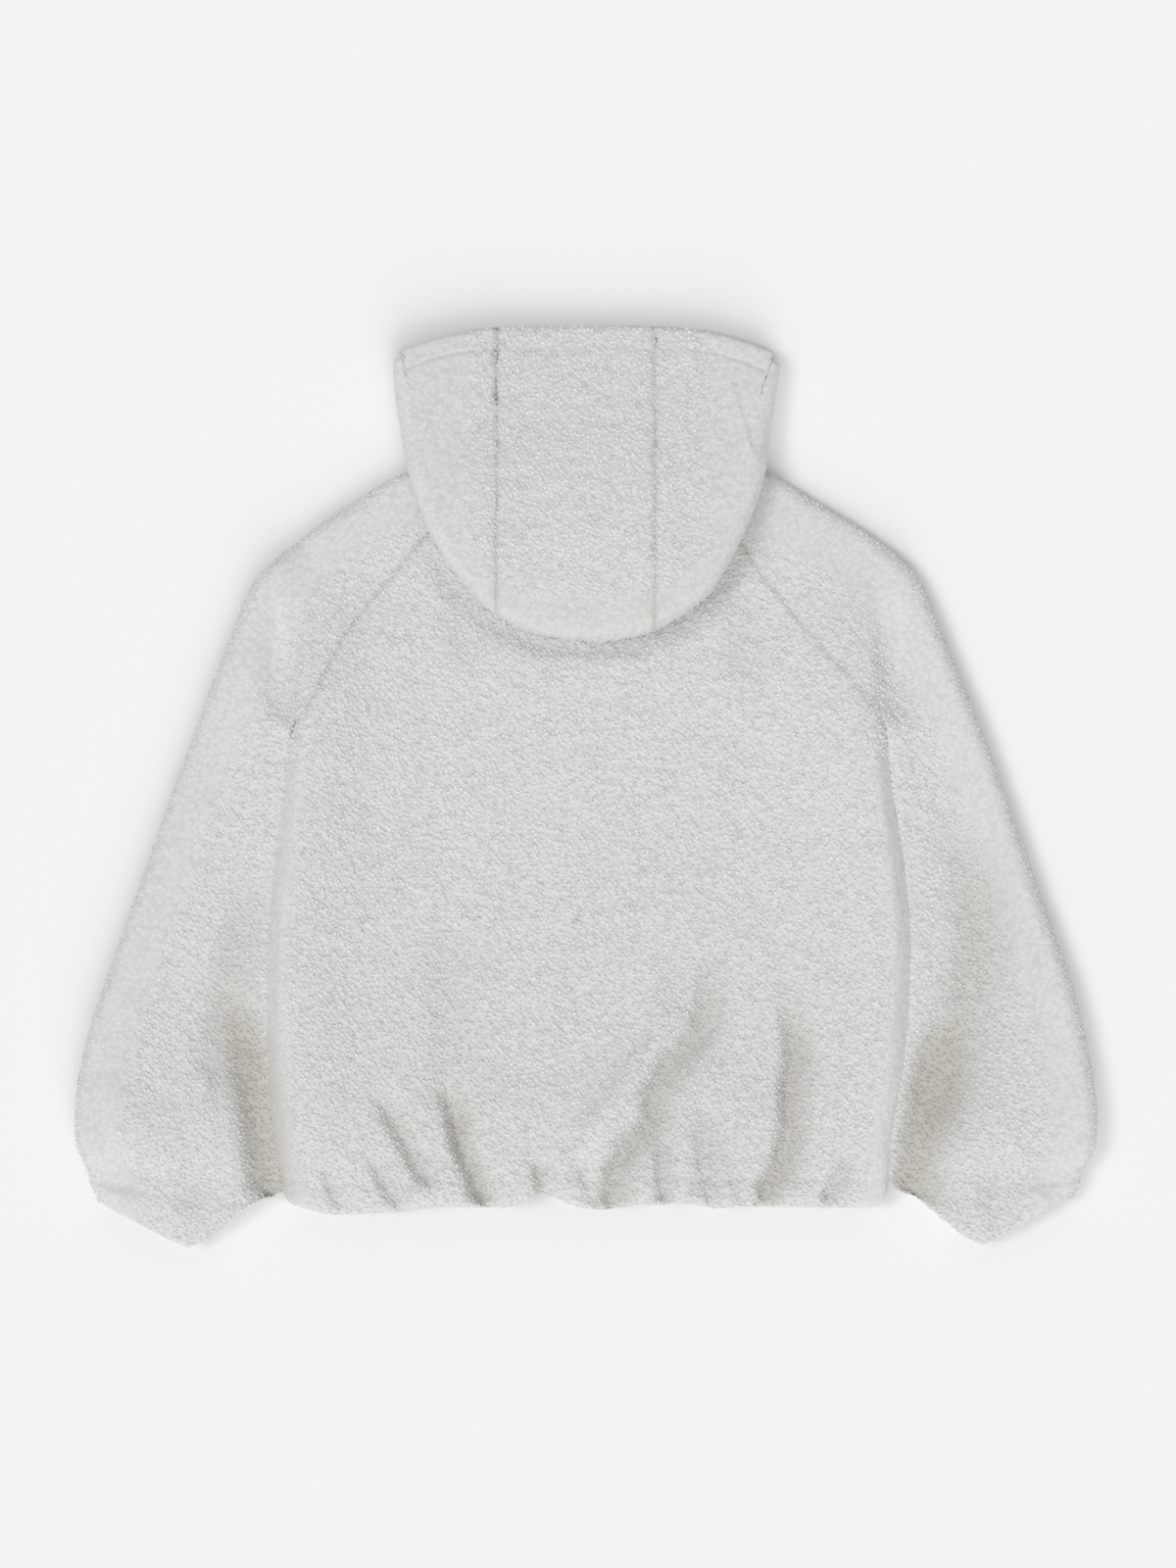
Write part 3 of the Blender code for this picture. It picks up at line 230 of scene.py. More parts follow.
# ------------------------------------------------------------------ curve helpers
def rows_at(table: Sequence[Sequence[float]], v: Any) -> Array:
    """Read a smooth curve through the rows of a table.

    Args:
        table: Rows of numbers, one row for each section.
        v: Row numbers, which may lie between rows.

    Returns:
        One row of values for each row number.
    """
    rows = np.asarray(table, float)
    v = np.clip(np.asarray(v, float), 0.0, len(rows) - 1.0)
    k = np.minimum(v.astype(int), len(rows) - 2)
    f = (v - k)[:, None]
    before, here = rows[np.maximum(k - 1, 0)], rows[k]
    after, beyond = rows[k + 1], rows[np.minimum(k + 2, len(rows) - 1)]
    return 0.5 * (
        2 * here
        + (after - before) * f
        + (2 * before - 5 * here + 4 * after - beyond) * f**2
        + (3 * here - before - 3 * after + beyond) * f**3
    )


def column_at(table: Sequence[Sequence[float]], x: Any, column: int = 1) -> Array:
    """Read a monotone smooth curve through one column of a table.

    Args:
        table: Rows whose first number rises.
        x: Places along the first column.
        column: Which column to read.

    Returns:
        The column's values at those places.
    """
    rows = np.asarray(table, float)
    xs, ys = rows[:, 0], rows[:, column]
    width = np.diff(xs)
    slope = np.diff(ys) / width
    rising = slope[:-1] * slope[1:] > 0
    total = np.where(rising, slope[:-1] + slope[1:], 1.0)
    mean = np.where(rising, 2 * slope[:-1] * slope[1:] / total, 0.0)
    tangent = np.concatenate([slope[:1], mean, slope[-1:]])
    x = np.clip(x, xs[0], xs[-1])
    k = np.clip(np.searchsorted(xs, x, side="right") - 1, 0, len(xs) - 2)
    t = (x - xs[k]) / width[k]
    return (
        (2 * t**3 - 3 * t**2 + 1) * ys[k]
        + (t**3 - 2 * t**2 + t) * width[k] * tangent[k]
        + (3 * t**2 - 2 * t**3) * ys[k + 1]
        + (t**3 - t**2) * width[k] * tangent[k + 1]
    )


def smoothstep(t: Any) -> Array:
    """Rise smoothly from 0 to 1 as t does."""
    t = np.clip(t, 0.0, 1.0)
    return t * t * (3.0 - 2.0 * t)


def bump(t: Any) -> Array:
    """Fall smoothly from 1 at t = 0 towards 0 on both sides."""
    return np.exp(-np.asarray(t, float) ** 2)


def soft_maximum(value: Any, least: Any, soft: float) -> Array:
    """The larger of two heights, turning smoothly where they come within soft of each other."""
    return least + soft * np.log1p(np.exp(np.clip((value - least) / soft, -30, 30)))


def unit(v: Array) -> Array:
    """Scale vectors to length one."""
    return v / np.maximum(np.linalg.norm(v, axis=-1, keepdims=True), 1e-9)


def lattice_noise(points: Array, pitch: float, seed: int) -> Array:
    """Smooth random heights that run on from piece to piece.

    Args:
        points: Places in millimetres, any shape with three in the last axis.
        pitch: Distance between the random values.
        seed: Chooses the pattern.

    Returns:
        Heights from -1 to 1.
    """
    cell = points / pitch
    low = np.floor(cell).astype(np.int64)
    blend = smoothstep(cell - low)
    total = np.zeros(points.shape[:-1])
    for corner in product((0, 1), repeat=3):
        key = low + np.array(corner)
        mixed = (key[..., 0] * 73856093) ^ (key[..., 1] * 19349663) ^ (key[..., 2] * 83492791)
        mixed = (mixed + seed * 2654435761) & 0xFFFFFFFF
        mixed = ((mixed ^ (mixed >> 15)) * 2246822519) & 0xFFFFFFFF
        mixed = ((mixed ^ (mixed >> 13)) * 3266489917) & 0xFFFFFFFF
        value = (mixed ^ (mixed >> 16)) / 2147483647.5 - 1.0
        weight = np.prod(np.where(np.array(corner) == 1, blend, 1.0 - blend), axis=-1)
        total += weight * value
    return total


def even_rows(path: Callable[[Array], Array], first: float, last: float, spacing: float) -> Array:
    """Row numbers whose places on a path lie evenly apart.

    Args:
        path: Gives the path's points at row numbers.
        first: Row number to start from.
        last: Row number to end at.
        spacing: Distance between rows in millimetres.

    Returns:
        Row numbers from first to last.
    """
    v = np.linspace(first, last, 600)
    steps = np.linalg.norm(np.diff(path(v), axis=0), axis=1)
    along = np.concatenate([[0.0], np.cumsum(steps)])
    count = max(2, round(along[-1] / spacing))
    return np.interp(np.linspace(0.0, along[-1], count + 1), along, v)


# ------------------------------------------------------------------ the jacket's form
@dataclass(frozen=True)
class JacketForm:
    """Heights and seam lines that all the cloth pieces share, in millimetres.

    A negative seam gap is an overlap of the two pieces that meet at the seam.
    """

    wall: float = 6.0
    seam_gap: float = -0.2
    side_overlap: float = 8.0
    side_seam_z: float = 14.0
    body_roll: float = 18.0
    lower_roll: float = 14.0
    ridge_inset: float = 20.0
    ridge_inner_width: float = 55.0
    ridge_outer_width: float = 15.0
    least_top: float = 14.2
    least_softness: float = 2.0
    hem_y: float = -369.0
    hem_fade: float = 150.0
    fold_start: float = 0.12
    fold_fade: float = 0.45
    steep_bank: float = 0.62
    gentle_bank: float = 1.3
    side_power: float = 4.5
    casing: float = 24.0
    casing_dip: float = 1.1
    casing_width: float = 4.0
    edge_round: float = 6.0
    edge_drop: float = 2.8
    seam_groove: float = 1.3
    seam_groove_width: float = 3.2
    raglan_rows: float = 7.0
    turn_from_row: float = 6.2
    turn_rows: float = 0.8
    front_raglan_in: float = 6.0
    front_raglan_down: float = 17.0

    def body_edge(self, side: Side, y: Any) -> Array:
        """Distance of the body's side edge from the centre line at height y."""
        return column_at(BODY_EDGE, y, 1 if side is Side.LEFT else 2)

    def edge_of(self, x: Array, y: Array) -> Array:
        """The body edge on whichever side of the centre line x lies."""
        return np.where(x < 0, self.body_edge(Side.LEFT, y), self.body_edge(Side.RIGHT, y))

    def fold_depth(self, x: Array, y: Array) -> Array:
        """Sum the depth of all folds at places on the upper cloth.

        Args:
            x: Places across.
            y: Places up the jacket.

        Returns:
            Depth below the unfolded cloth.
        """
        depth = np.zeros(np.broadcast(x, y).shape)
        for _name, half_width, full, line in FOLDS:
            points = np.asarray(line, float)
            side_of_line = 1.0 if points[-1, 1] < points[0, 1] else -1.0
            lengths = np.linalg.norm(np.diff(points, axis=0), axis=1)
            starts = np.concatenate([[0.0], np.cumsum(lengths)])
            nearest = np.full(depth.shape, np.inf)
            along, bank = np.zeros(depth.shape), np.ones(depth.shape)
            for k, length in enumerate(lengths):
                step = (points[k + 1] - points[k]) / length
                from_x, from_y = x - points[k, 0], y - points[k, 1]
                reach = np.clip(from_x * step[0] + from_y * step[1], 0, length)
                gap = np.hypot(from_x - reach * step[0], from_y - reach * step[1])
                closer = gap < nearest
                nearest = np.where(closer, gap, nearest)
                along = np.where(closer, starts[k] + reach, along)
                right_of_line = np.sign(step[0] * from_y - step[1] * from_x) * side_of_line
                bank = np.where(closer, right_of_line, bank)
            fade = smoothstep(self.fold_start + along / (self.fold_fade * starts[-1]))
            width = half_width * np.where(bank > 0, self.gentle_bank, self.steep_bank)
            depth = depth + full * fade * bump(nearest / width)
        return depth

    def keep_above_least(self, z: Array) -> Array:
        """Hold the upper cloth above its least height, turning smoothly."""
        return soft_maximum(z, self.least_top, self.least_softness)

    def crown(self, x: Array, y: Array) -> Array:
        """Height of the body's upper cloth at x, y."""
        past = np.abs(x) - self.edge_of(x, y)
        centre, crest = column_at(TOP_HEIGHTS, y, 1), column_at(TOP_HEIGHTS, y, 2)
        inside = bump((past + self.ridge_inset) / self.ridge_inner_width)
        outside = bump((past + self.ridge_inset) / self.ridge_outer_width)
        rise = (crest - centre) * np.where(past < -self.ridge_inset, inside, outside)
        return self.keep_above_least(centre + rise - self.fold_depth(x, y))

    def into_roll(self, across: Array, edge: Array, reach: float) -> Array:
        """How far a place lies out on the rolled edge: 0 where it starts, 1 at the side."""
        return np.clip((across - (edge - reach)) / reach, 0.0, 1.0)

    def rolled(self, across: Array, edge: Array, reach: float, top: Any) -> Array:
        """Height on the rolled edge, between the side seam and the flat cloth at top."""
        into = self.into_roll(across, edge, reach)
        return self.side_seam_z + (top - self.side_seam_z) * self.shoulder_of_roll(into)

    def shoulder_of_roll(self, into: Array) -> Array:
        """Share of the full height left on a rolled side edge, which is squarer than round."""
        return (1.0 - into**self.side_power) ** (1.0 / self.side_power)

    def casing_pull(self, from_edge: Any) -> Array:
        """How far the casing's stitching pulls the cloth in, that far from the edge."""
        return self.casing_dip * bump((np.asarray(from_edge) - self.casing) / self.casing_width)

    def edge_fall(self, from_edge: Any, face: Face) -> Array:
        """How far a free edge rounds down on its outer face, and up on its inner one."""
        t = np.clip(1.0 - np.asarray(from_edge) / self.edge_round, 0.0, 1.0)
        fall = self.edge_drop * (1.0 - np.sqrt(1.0 - t * t))
        return fall if face is Face.OUTER else -0.5 * fall

    def inset(self, face: Face) -> float:
        """Depth of a face below the cloth's outer one."""
        return 0.0 if face is Face.OUTER else self.wall

    def hem_line(self, x: Any, from_hem: Any) -> Array:
        """Height up the jacket of the row that lies from_hem above the hem's edge."""
        follow = 1.0 - smoothstep(from_hem / self.hem_fade)
        return self.hem_y + from_hem + follow * column_at(HEM_EDGE, x)

    def seam_turn(self, v: Any) -> Array:
        """How far a raglan seam has turned on edge: 0 lying flat, 1 at the underarm."""
        return smoothstep((np.asarray(v) - self.turn_from_row) / self.turn_rows)

    def raglan_seam(self, side: Side, v: Array, on_back: bool) -> tuple[Array, Array]:
        """Lay out a raglan seam from the neck to the underarm.

        Args:
            side: Left or right.
            v: Row numbers of the sleeve table.
            on_back: True for the back's seam, False for the front's.

        Returns:
            The seam's outer and inner points.
        """
        across, up = rows_at(SLEEVE_SECTIONS[side], v)[:, :2].T
        neck_share = (1.0 - v / self.raglan_rows) ** 2
        if not on_back:
            across = across - self.front_raglan_in * neck_share
            up = up - self.front_raglan_down * neck_share
        edge = self.body_edge(side, up)
        across = np.minimum(across, edge)
        x = side.value * across
        if on_back:
            z = self.rolled(across, edge, self.body_roll, self.crown(x, up))
        else:
            z = self.rolled(across, edge, self.lower_roll, 0.0)
        outer = np.stack([x, up, z], axis=1)
        turn = self.seam_turn(v)[:, None] * math.pi / 2
        straight = np.array([0.0, 0.0, -1.0 if on_back else 1.0])
        inward = np.cos(turn) * straight + np.sin(turn) * np.array([0.0, 1.0, 0.0])
        return outer, outer + self.wall * inward

    def set_back(self, points: Array, side: Side, towards_body: bool) -> Array:
        """Move a seam's points off the seam line, in plan.

        Args:
            points: Points along the seam.
            side: Left or right.
            towards_body: True for the body's piece, False for the sleeve's.

        Returns:
            The moved points.
        """
        run = np.gradient(points[:, :2], axis=0)
        normal = unit(np.stack([-run[:, 1], run[:, 0]], axis=1))
        to_body = np.sign(-side.value * normal[:, :1])
        to_body[to_body == 0] = 1.0
        moved = points.copy()
        moved[:, :2] += self.seam_gap * normal * to_body * (1.0 if towards_body else -1.0)
        return moved

    def groove(self, from_seam: Array) -> Array:
        """Depth of the groove that a seam's stitching pulls into the pile."""
        return self.seam_groove * bump(from_seam / self.seam_groove_width)


@dataclass(frozen=True)
class Drawing:
    """Places the drawing's millimetres in the frame's metres."""

    slider_y: float = 188.0

    @property
    def shift(self) -> Array:
        """Millimetres from the drawing's origin to the frame's, read off the zip slider."""
        low, high = (np.array(corner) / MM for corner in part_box("zip_slider"))
        return np.array([0.5 * (low[0] + high[0]), 0.5 * (low[1] + high[1]) - self.slider_y, 0.0])

    def place(self, points: Array) -> Array:
        """Turn points of the drawing to points of the frame."""
        return (points + self.shift) * MM


# ------------------------------------------------------------------ cloth pieces
@dataclass
class Skin:
    """Points of one cloth piece: grids of rows and columns, and what its pile does there."""

    outer: Array
    inner: Array
    brushed: Array
    seams: Sequence[Array]
    dip: Any = 0.0

    @property
    def facing(self) -> float:
        """1 where the grid's own normal points out of the cloth, -1 where it points in."""
        agreement = np.sum(self.grid_normals() * (self.outer - self.inner), axis=-1)
        return 1.0 if float(np.mean(agreement)) > 0 else -1.0

    def grid_normals(self) -> Array:
        """Normals of the outer grid, in the sense of its rows and columns."""
        return unit(np.cross(np.gradient(self.outer, axis=0), np.gradient(self.outer, axis=1)))

    def seam_distance(self) -> Array:
        """Distance of every outer point from the nearest seam."""
        points = []
        for path in self.seams:
            along = np.linspace(0.0, len(path) - 1.0, 4 * len(path))
            k = np.minimum(along.astype(int), len(path) - 2)
            points.append(path[k] + (path[k + 1] - path[k]) * (along - k)[:, None])
        merged = np.concatenate(points)
        tree = KDTree(len(merged))
        for index, point in enumerate(merged):
            tree.insert(point, index)
        tree.balance()
        flat = self.outer.reshape(-1, 3)
        return np.array([tree.find(point)[2] for point in flat]).reshape(self.outer.shape[:2])


@dataclass(frozen=True)
class PileRelief:
    """Uneven height of the pile over a piece, in millimetres."""

    ground_depth: float = 0.9
    clump_pitch: float = 11.0
    clump_height: float = 0.35
    curl_pitch: float = 4.2
    curl_height: float = 0.8
    swell_pitch: float = 46.0
    swell_height: float = 0.6
    brushed_share: float = 0.25
    groove_mean: float = 0.75
    groove_spread: float = 0.6
    least_z: float = 0.15
    seed: int = 7

    def apply(self, skin: Skin, form: JacketForm) -> Array:
        """Move a skin's outer points along their normals.

        Args:
            skin: The piece's points.
            form: Sizes of the seams' grooves.

        Returns:
            The outer points with the pile's relief.
        """
        rough = 1.0 - (1.0 - self.brushed_share) * skin.brushed
        height = self.swell_height * lattice_noise(skin.outer, self.swell_pitch, self.seed)
        height += rough * self.clump_height * lattice_noise(skin.outer, self.clump_pitch, self.seed + 1)
        height += rough * self.curl_height * lattice_noise(skin.outer, self.curl_pitch, self.seed + 2)
        uneven = self.groove_mean + self.groove_spread * lattice_noise(
            skin.outer, self.clump_pitch, self.seed + 3)
        height -= self.ground_depth + uneven * form.groove(skin.seam_distance()) + skin.dip
        moved = skin.outer + skin.facing * skin.grid_normals() * height[..., None]
        moved[..., 2] = np.maximum(moved[..., 2], self.least_z)
        return moved


@dataclass(frozen=True)
class ClothPiece:
    """A piece cut from pile cloth: where its points lie and how it was cut."""

    form: JacketForm
    node: str
    flat: tuple[float, float]
    area: float
    held: str
    rests_on: tuple[str, ...]
    spacing: float = 3.0
    pile_pitch: float = 2.95
    edge_rows: int = 6
    roll_stretch: float = 1.5
    pressed_below: float = 4.0

    def skin(self) -> Skin:
        """Lay the piece out as grids of points."""
        raise NotImplementedError

    def roll_steps(self, reach: float) -> int:
        """Steps over a quarter turn of a rolled edge, close enough for the spacing."""
        return round(reach * self.roll_stretch / self.spacing)

    def roll_angles(self, reach: float) -> Array:
        """Angles over a quarter turn of a rolled edge."""
        return np.linspace(0.0, math.pi / 2, max(4, self.roll_steps(reach)) + 1)

    def pressed(self, outer: Array) -> Array:
        """How far the pile is pressed flat, where it lies on the floor."""
        return smoothstep((self.pressed_below - outer[..., 2]) / self.pressed_below)


@dataclass(frozen=True)
class BodyPanel(ClothPiece):
    """What the back and the fronts share: rows down the raglan seam, then down to the hem."""

    straight_rows_above: float = 8.0
    off_hem: float = 1e3

    def raglan_rows(self) -> Array:
        """Row numbers down the raglan seam."""
        def seam_in_plan(v: Array) -> Array:
            return self.form.raglan_seam(Side.LEFT, v, True)[0][:, :2]

        return even_rows(seam_in_plan, 0.0, self.form.raglan_rows, self.spacing)

    def hem_rows(self) -> Array:
        """Distances from the hem, down from the underarm, closer at the rounded edge."""
        underarm = rows_at(SLEEVE_SECTIONS[Side.LEFT], [self.form.raglan_rows])[0, 1] - self.form.hem_y
        count = round((underarm - self.straight_rows_above) / self.spacing)
        plain = np.linspace(underarm, self.straight_rows_above, count + 1)[1:]
        return np.concatenate([plain, np.linspace(self.straight_rows_above, 0.0, self.edge_rows + 1)[1:]])


@dataclass(frozen=True)
class BackPanel(BodyPanel):
    """The back, from raglan seam to raglan seam, with the hem's casing."""

    neck_dip: float = 10.0
    neck_rows: float = 1.5
    brushed_in: float = 9.0
    brushed_width: float = 12.0
    brushed_below: float = 40.0

    def layout(self, face: Face) -> Array:
        """Points of one face, rows from neck to hem, columns from left to right."""
        form, raglan, lower = self.form, self.raglan_rows(), self.hem_rows()
        inset = form.inset(face)
        count = len(raglan)
        from_hem = np.concatenate([np.full(count, self.off_hem), lower])[:, None]
        ends = {}
        for side in Side:
            seam = form.raglan_seam(side, raglan, True)[0]
            y_mid = form.hem_y + lower
            y_end = form.hem_line(side.value * form.body_edge(side, y_mid), lower)
            below = np.stack([side.value * form.body_edge(side, y_end), y_end], axis=1)
            ends[side] = np.concatenate([seam[:, :2], below])
        left, right = ends[Side.LEFT], ends[Side.RIGHT]
        arc = form.body_roll * (1 - np.cos(self.roll_angles(form.body_roll)))[None, :]
        width = right[:, :1] - left[:, :1]
        steps = round(np.median(width) / self.spacing)
        run = np.linspace(0.0, 1.0, steps + 1)[1:-1][None, :]
        x = np.concatenate([
            left[:, :1] + arc,
            left[:, :1] + form.body_roll + run * (width - 2 * form.body_roll),
            (right[:, :1] - arc)[:, ::-1],
        ], axis=1)
        share = (x - left[:, :1]) / width
        y = left[:, 1:] + (right[:, 1:] - left[:, 1:]) * share
        neck = np.concatenate([bump(raglan / self.neck_rows), np.zeros(len(lower))])[:, None]
        y = y - self.neck_dip * (1 - (2 * share - 1) ** 2) * neck
        y[count:] = form.hem_line(x[count:], from_hem[count:])
        edge = np.where(x < 0, -left[:, :1], right[:, :1])
        edge[:count] = form.edge_of(x[:count], y[:count])
        into = form.into_roll(np.abs(x), edge, form.body_roll)
        top = form.crown(x, y) - inset - form.edge_fall(from_hem, face) - form.casing_pull(from_hem)
        z = form.side_seam_z + (top - form.side_seam_z) * form.shoulder_of_roll(into)
        grid = np.stack([x - np.sign(x) * inset * into, y, z], axis=-1)
        for column, side in ((0, Side.LEFT), (-1, Side.RIGHT)):
            seam = form.raglan_seam(side, raglan, True)[face.value]
            grid[:count, column] = form.set_back(seam, side, True)
            turned = np.concatenate([form.seam_turn(raglan), np.ones(len(lower))])
            grid[:, column, 2] += form.seam_gap * turned
        return grid

    def skin(self) -> Skin:
        """Lay the back out; its pile is brushed flat along the rolled side edges."""
        outer = self.layout(Face.OUTER)
        past = np.abs(outer[..., 0]) - self.form.edge_of(outer[..., 0], outer[..., 1])
        below_arm = smoothstep((self.brushed_below - outer[..., 1]) / self.brushed_below)
        brushed = bump((past + self.brushed_in) / self.brushed_width) * below_arm
        return Skin(outer, self.layout(Face.INNER), brushed, [outer[:, 0], outer[:, -1], outer[0]])


@dataclass(frozen=True)
class FrontPanel(BodyPanel):
    """One front, flat on the floor, from the zip to its side seam."""

    side: Side = Side.LEFT
    front_edge: float = 5.0
    neck_y: float = 205.0
    gather_reach: float = 38.0

    def lift(self, x: Array, from_hem: Array) -> Array:
        """Rise of the hem's gathers off the floor."""
        rise = sum(height * bump((x - at) / half) for at, half, height in FRONT_GATHERS)
        return rise * bump(from_hem / self.gather_reach)

    def layout(self, face: Face) -> Array:
        """Points of one face, rows from neck to hem, columns from the zip to the side."""
        form, side, raglan, lower = self.form, self.side, self.raglan_rows(), self.hem_rows()
        inset = form.inset(face)
        count = len(raglan)
        from_hem = np.concatenate([np.full(count, self.off_hem), lower])[:, None]
        seam = form.raglan_seam(side, raglan, False)[0]
        y_mid = form.hem_y + lower
        below = form.body_edge(side, form.hem_line(side.value * form.body_edge(side, y_mid), lower))
        end = np.concatenate([np.abs(seam[:, 0]), below])[:, None]
        arc = form.lower_roll * (1 - np.cos(self.roll_angles(form.lower_roll)[::-1]))[None, :]
        steps = round(np.median(end) / self.spacing)
        run = np.linspace(0.0, 1.0, steps + 1)[:-1][None, :]
        across = np.concatenate(
            [self.front_edge + run * (end - form.lower_roll - self.front_edge), end - arc], axis=1)
        share = ((seam[:, 1] - seam[-1, 1]) / (seam[0, 1] - seam[-1, 1]))[:, None]
        centre = seam[-1, 1] + (self.neck_y - seam[-1, 1]) * share
        t = (across[:count] - self.front_edge) / (end[:count] - self.front_edge)
        y = np.empty_like(across)
        y[:count] = centre + (seam[:, 1:2] - centre) * t ** (1.0 + 0.5 * share)
        y[count:] = form.hem_line(side.value * across[count:], from_hem[count:])
        edge = np.broadcast_to(end, across.shape).copy()
        edge[:count] = form.body_edge(side, y[:count])
        into = form.into_roll(across, edge, form.lower_roll)
        low = inset + self.lift(side.value * across, from_hem) + form.edge_fall(from_hem, face)
        z = form.side_seam_z + (low - form.side_seam_z) * np.sqrt(1.0 - into**2)
        grid = np.stack([side.value * (across - inset * into), y, z], axis=-1)
        grid[:count, -1] = form.set_back(form.raglan_seam(side, raglan, False)[face.value], side, True)
        turned = np.concatenate([form.seam_turn(raglan), np.ones(len(lower))])
        grid[:, -1, 2] -= form.seam_gap * turned
        return grid

    def skin(self) -> Skin:
        """Lay the front out; the pile that it lies on is pressed flat."""
        outer = self.layout(Face.OUTER)
        seams = [outer[:, 0], outer[:, -1], outer[0]]
        return Skin(outer, self.layout(Face.INNER), self.pressed(outer), seams)


@dataclass(frozen=True)
class Sleeve(ClothPiece):
    """A raglan sleeve: open along the raglan seam, then a tube to its gathered cuff."""

    side: Side = Side.LEFT
    roll: float = 13.0
    roll_share: float = 0.42
    seam_side: float = 0.3
    fold_side: float = 0.34
    beyond_ridge: float = 26.0
    crease_out: float = 8.0
    crease_width: float = 12.0
    cuff_bow: float = 19.0
    cuff_bow_at: float = 0.24
    cuff_bow_round: float = 0.45
    cuff_bow_skew: float = 0.6
    cuff_bow_peak: float = 0.75
    cuff_bow_power: float = 1.3
    cuff_rows: float = 2.2
    cuff_edge_from: float = 17.5
    casing_from: float = 12.0
    casing_rows: float = 3.0
    tube_rows: float = 2.0
    tuck_rows: float = 0.8
    tuck_until: float = 17.0
    row_length: float = 18.0
    seam_blend: float = 8.0
    seam_turn_blend: float = 22.0
    floor_spacing: float = 6.0
    brushed_in: float = 24.0
    brushed_width: float = 18.0

    def crowns(self, x: Array, y: Array, heights: Sequence[Array], share: Array) -> tuple[Array, Array]:
        """Height of the sleeve's upper cloth.

        Args:
            x: Places across.
            y: Places up the jacket.
            heights: Inner, middle and outer cloth height of each section.
            share: Share of the way from the seam to the outer fold.

        Returns:
            The height beside the body's cloth, and the height of the plain tube.
        """
        inner, middle, outer = heights
        form = self.form
        profile = middle + (inner - middle) * bump(share / self.seam_side)
        profile = profile + (outer - middle) * bump((1 - share) / self.fold_side)
        past = np.abs(x) - form.body_edge(self.side, y)
        beyond = smoothstep((past + form.ridge_inset) / self.beyond_ridge)
        crease = column_at(TOP_HEIGHTS, y, 3) * bump((past - self.crease_out) / self.crease_width)
        folds = form.fold_depth(x, y)
        plain = (1 - beyond) * form.crown(x, y) + beyond * (profile - folds) - crease
        return form.keep_above_least(plain), form.keep_above_least(profile - folds)

    def rows(self) -> Array:
        """Row numbers from neck to cuff, closer at the cuff's rounded edge."""
        def middle(v: Array) -> Array:
            rows = rows_at(SLEEVE_SECTIONS[self.side], v)
            return 0.5 * (rows[:, 0:2] + rows[:, 2:4])

        underarm, last = self.form.raglan_rows, len(SLEEVE_SECTIONS[self.side]) - 1.0
        upper = even_rows(middle, 0.0, underarm, self.spacing)
        lower = even_rows(middle, underarm, self.cuff_edge_from, self.spacing)
        return np.concatenate(
            [upper, lower[1:], np.linspace(self.cuff_edge_from, last, self.edge_rows + 1)[1:]])

    def tuck(self, v: Array) -> Array:
        """How far the inner edge is tucked into the body's edge: 0 on the raglan seam, 1 below."""
        return smoothstep((v - self.form.raglan_rows + self.tuck_rows) / self.tuck_rows)

    def layout(self, v: Array, face: Face) -> Array:
        """Points of one face, a row for each section, from seam over the top and back under."""
        form, side = self.form, self.side
        inset = form.inset(face)
        across_in, up_in, across_out, up_out, *heights = rows_at(SLEEVE_SECTIONS[side], v).T[:, :, None]
        v = np.asarray(v, float)[:, None]
        tube = np.where(v >= form.raglan_rows, 1.0, form.seam_turn(v))
        beside_body = self.tuck(v) * smoothstep(self.tuck_until - v)
        touching = form.body_edge(side, up_in) - form.side_overlap
        across_in = across_in + (touching - across_in) * beside_body
        neck_share = np.clip(1.0 - v / form.raglan_rows, 0.0, 1.0) ** 2
        outer_end = np.stack([side.value * across_out, up_out], axis=-1)
        top_end = np.stack([side.value * across_in, up_in], axis=-1)
        floor_end = top_end + np.stack(
            [-side.value * form.front_raglan_in * neck_share, -form.front_raglan_down * neck_share], axis=-1)
        last = len(SLEEVE_SECTIONS[side]) - 1.0
        cuff_share = smoothstep((v - (last - self.cuff_rows)) / self.cuff_rows)
        edge_near = (last - v) * self.row_length
        length = np.linalg.norm(outer_end - top_end, axis=-1)
        low_length = np.linalg.norm(outer_end - floor_end, axis=-1)
        roll = np.minimum(self.roll, self.roll_share * length)
        angles = self.roll_angles(self.roll)[None, :]
        fall = form.edge_fall(edge_near, face)

        def across_section(end: Array, place: Array) -> tuple[Array, Array, Array]:
            share = place / np.linalg.norm(outer_end - end, axis=-1)
            plan = end + (outer_end - end) * share[..., None]
            skewed = np.clip(share, 0, 1) ** self.cuff_bow_skew
            bow = self.cuff_bow_round * self.cuff_bow * cuff_share * np.sin(math.pi * skewed)
            at = self.cuff_bow_at
            peak = np.clip(np.where(share < at, share / at, (1 - share) / (1 - at)), 0, 1)
            bow = bow + self.cuff_bow_peak * self.cuff_bow * cuff_share * peak**self.cuff_bow_power
            return plan[..., 0], plan[..., 1] - bow, share

        def upper(place: Array) -> tuple[Array, Array, Array]:
            x, y, share = across_section(top_end, place)
            beside, plain = self.crowns(x, y, heights, share)
            blend = smoothstep((v - form.raglan_rows + self.tube_rows) / self.tube_rows)
            z = beside + (plain - beside) * blend
            near_cuff = smoothstep((v - self.casing_from) / self.casing_rows)
            return x, y, z - form.casing_pull(edge_near) * near_cuff

        seam_z = np.minimum(form.side_seam_z, 0.5 * heights[0])
        inner_in = inset * tube
        joined = np.minimum(v[:, 0], form.raglan_rows)
        unjoined = np.where(v >= form.raglan_rows, 0.0, 1.0)

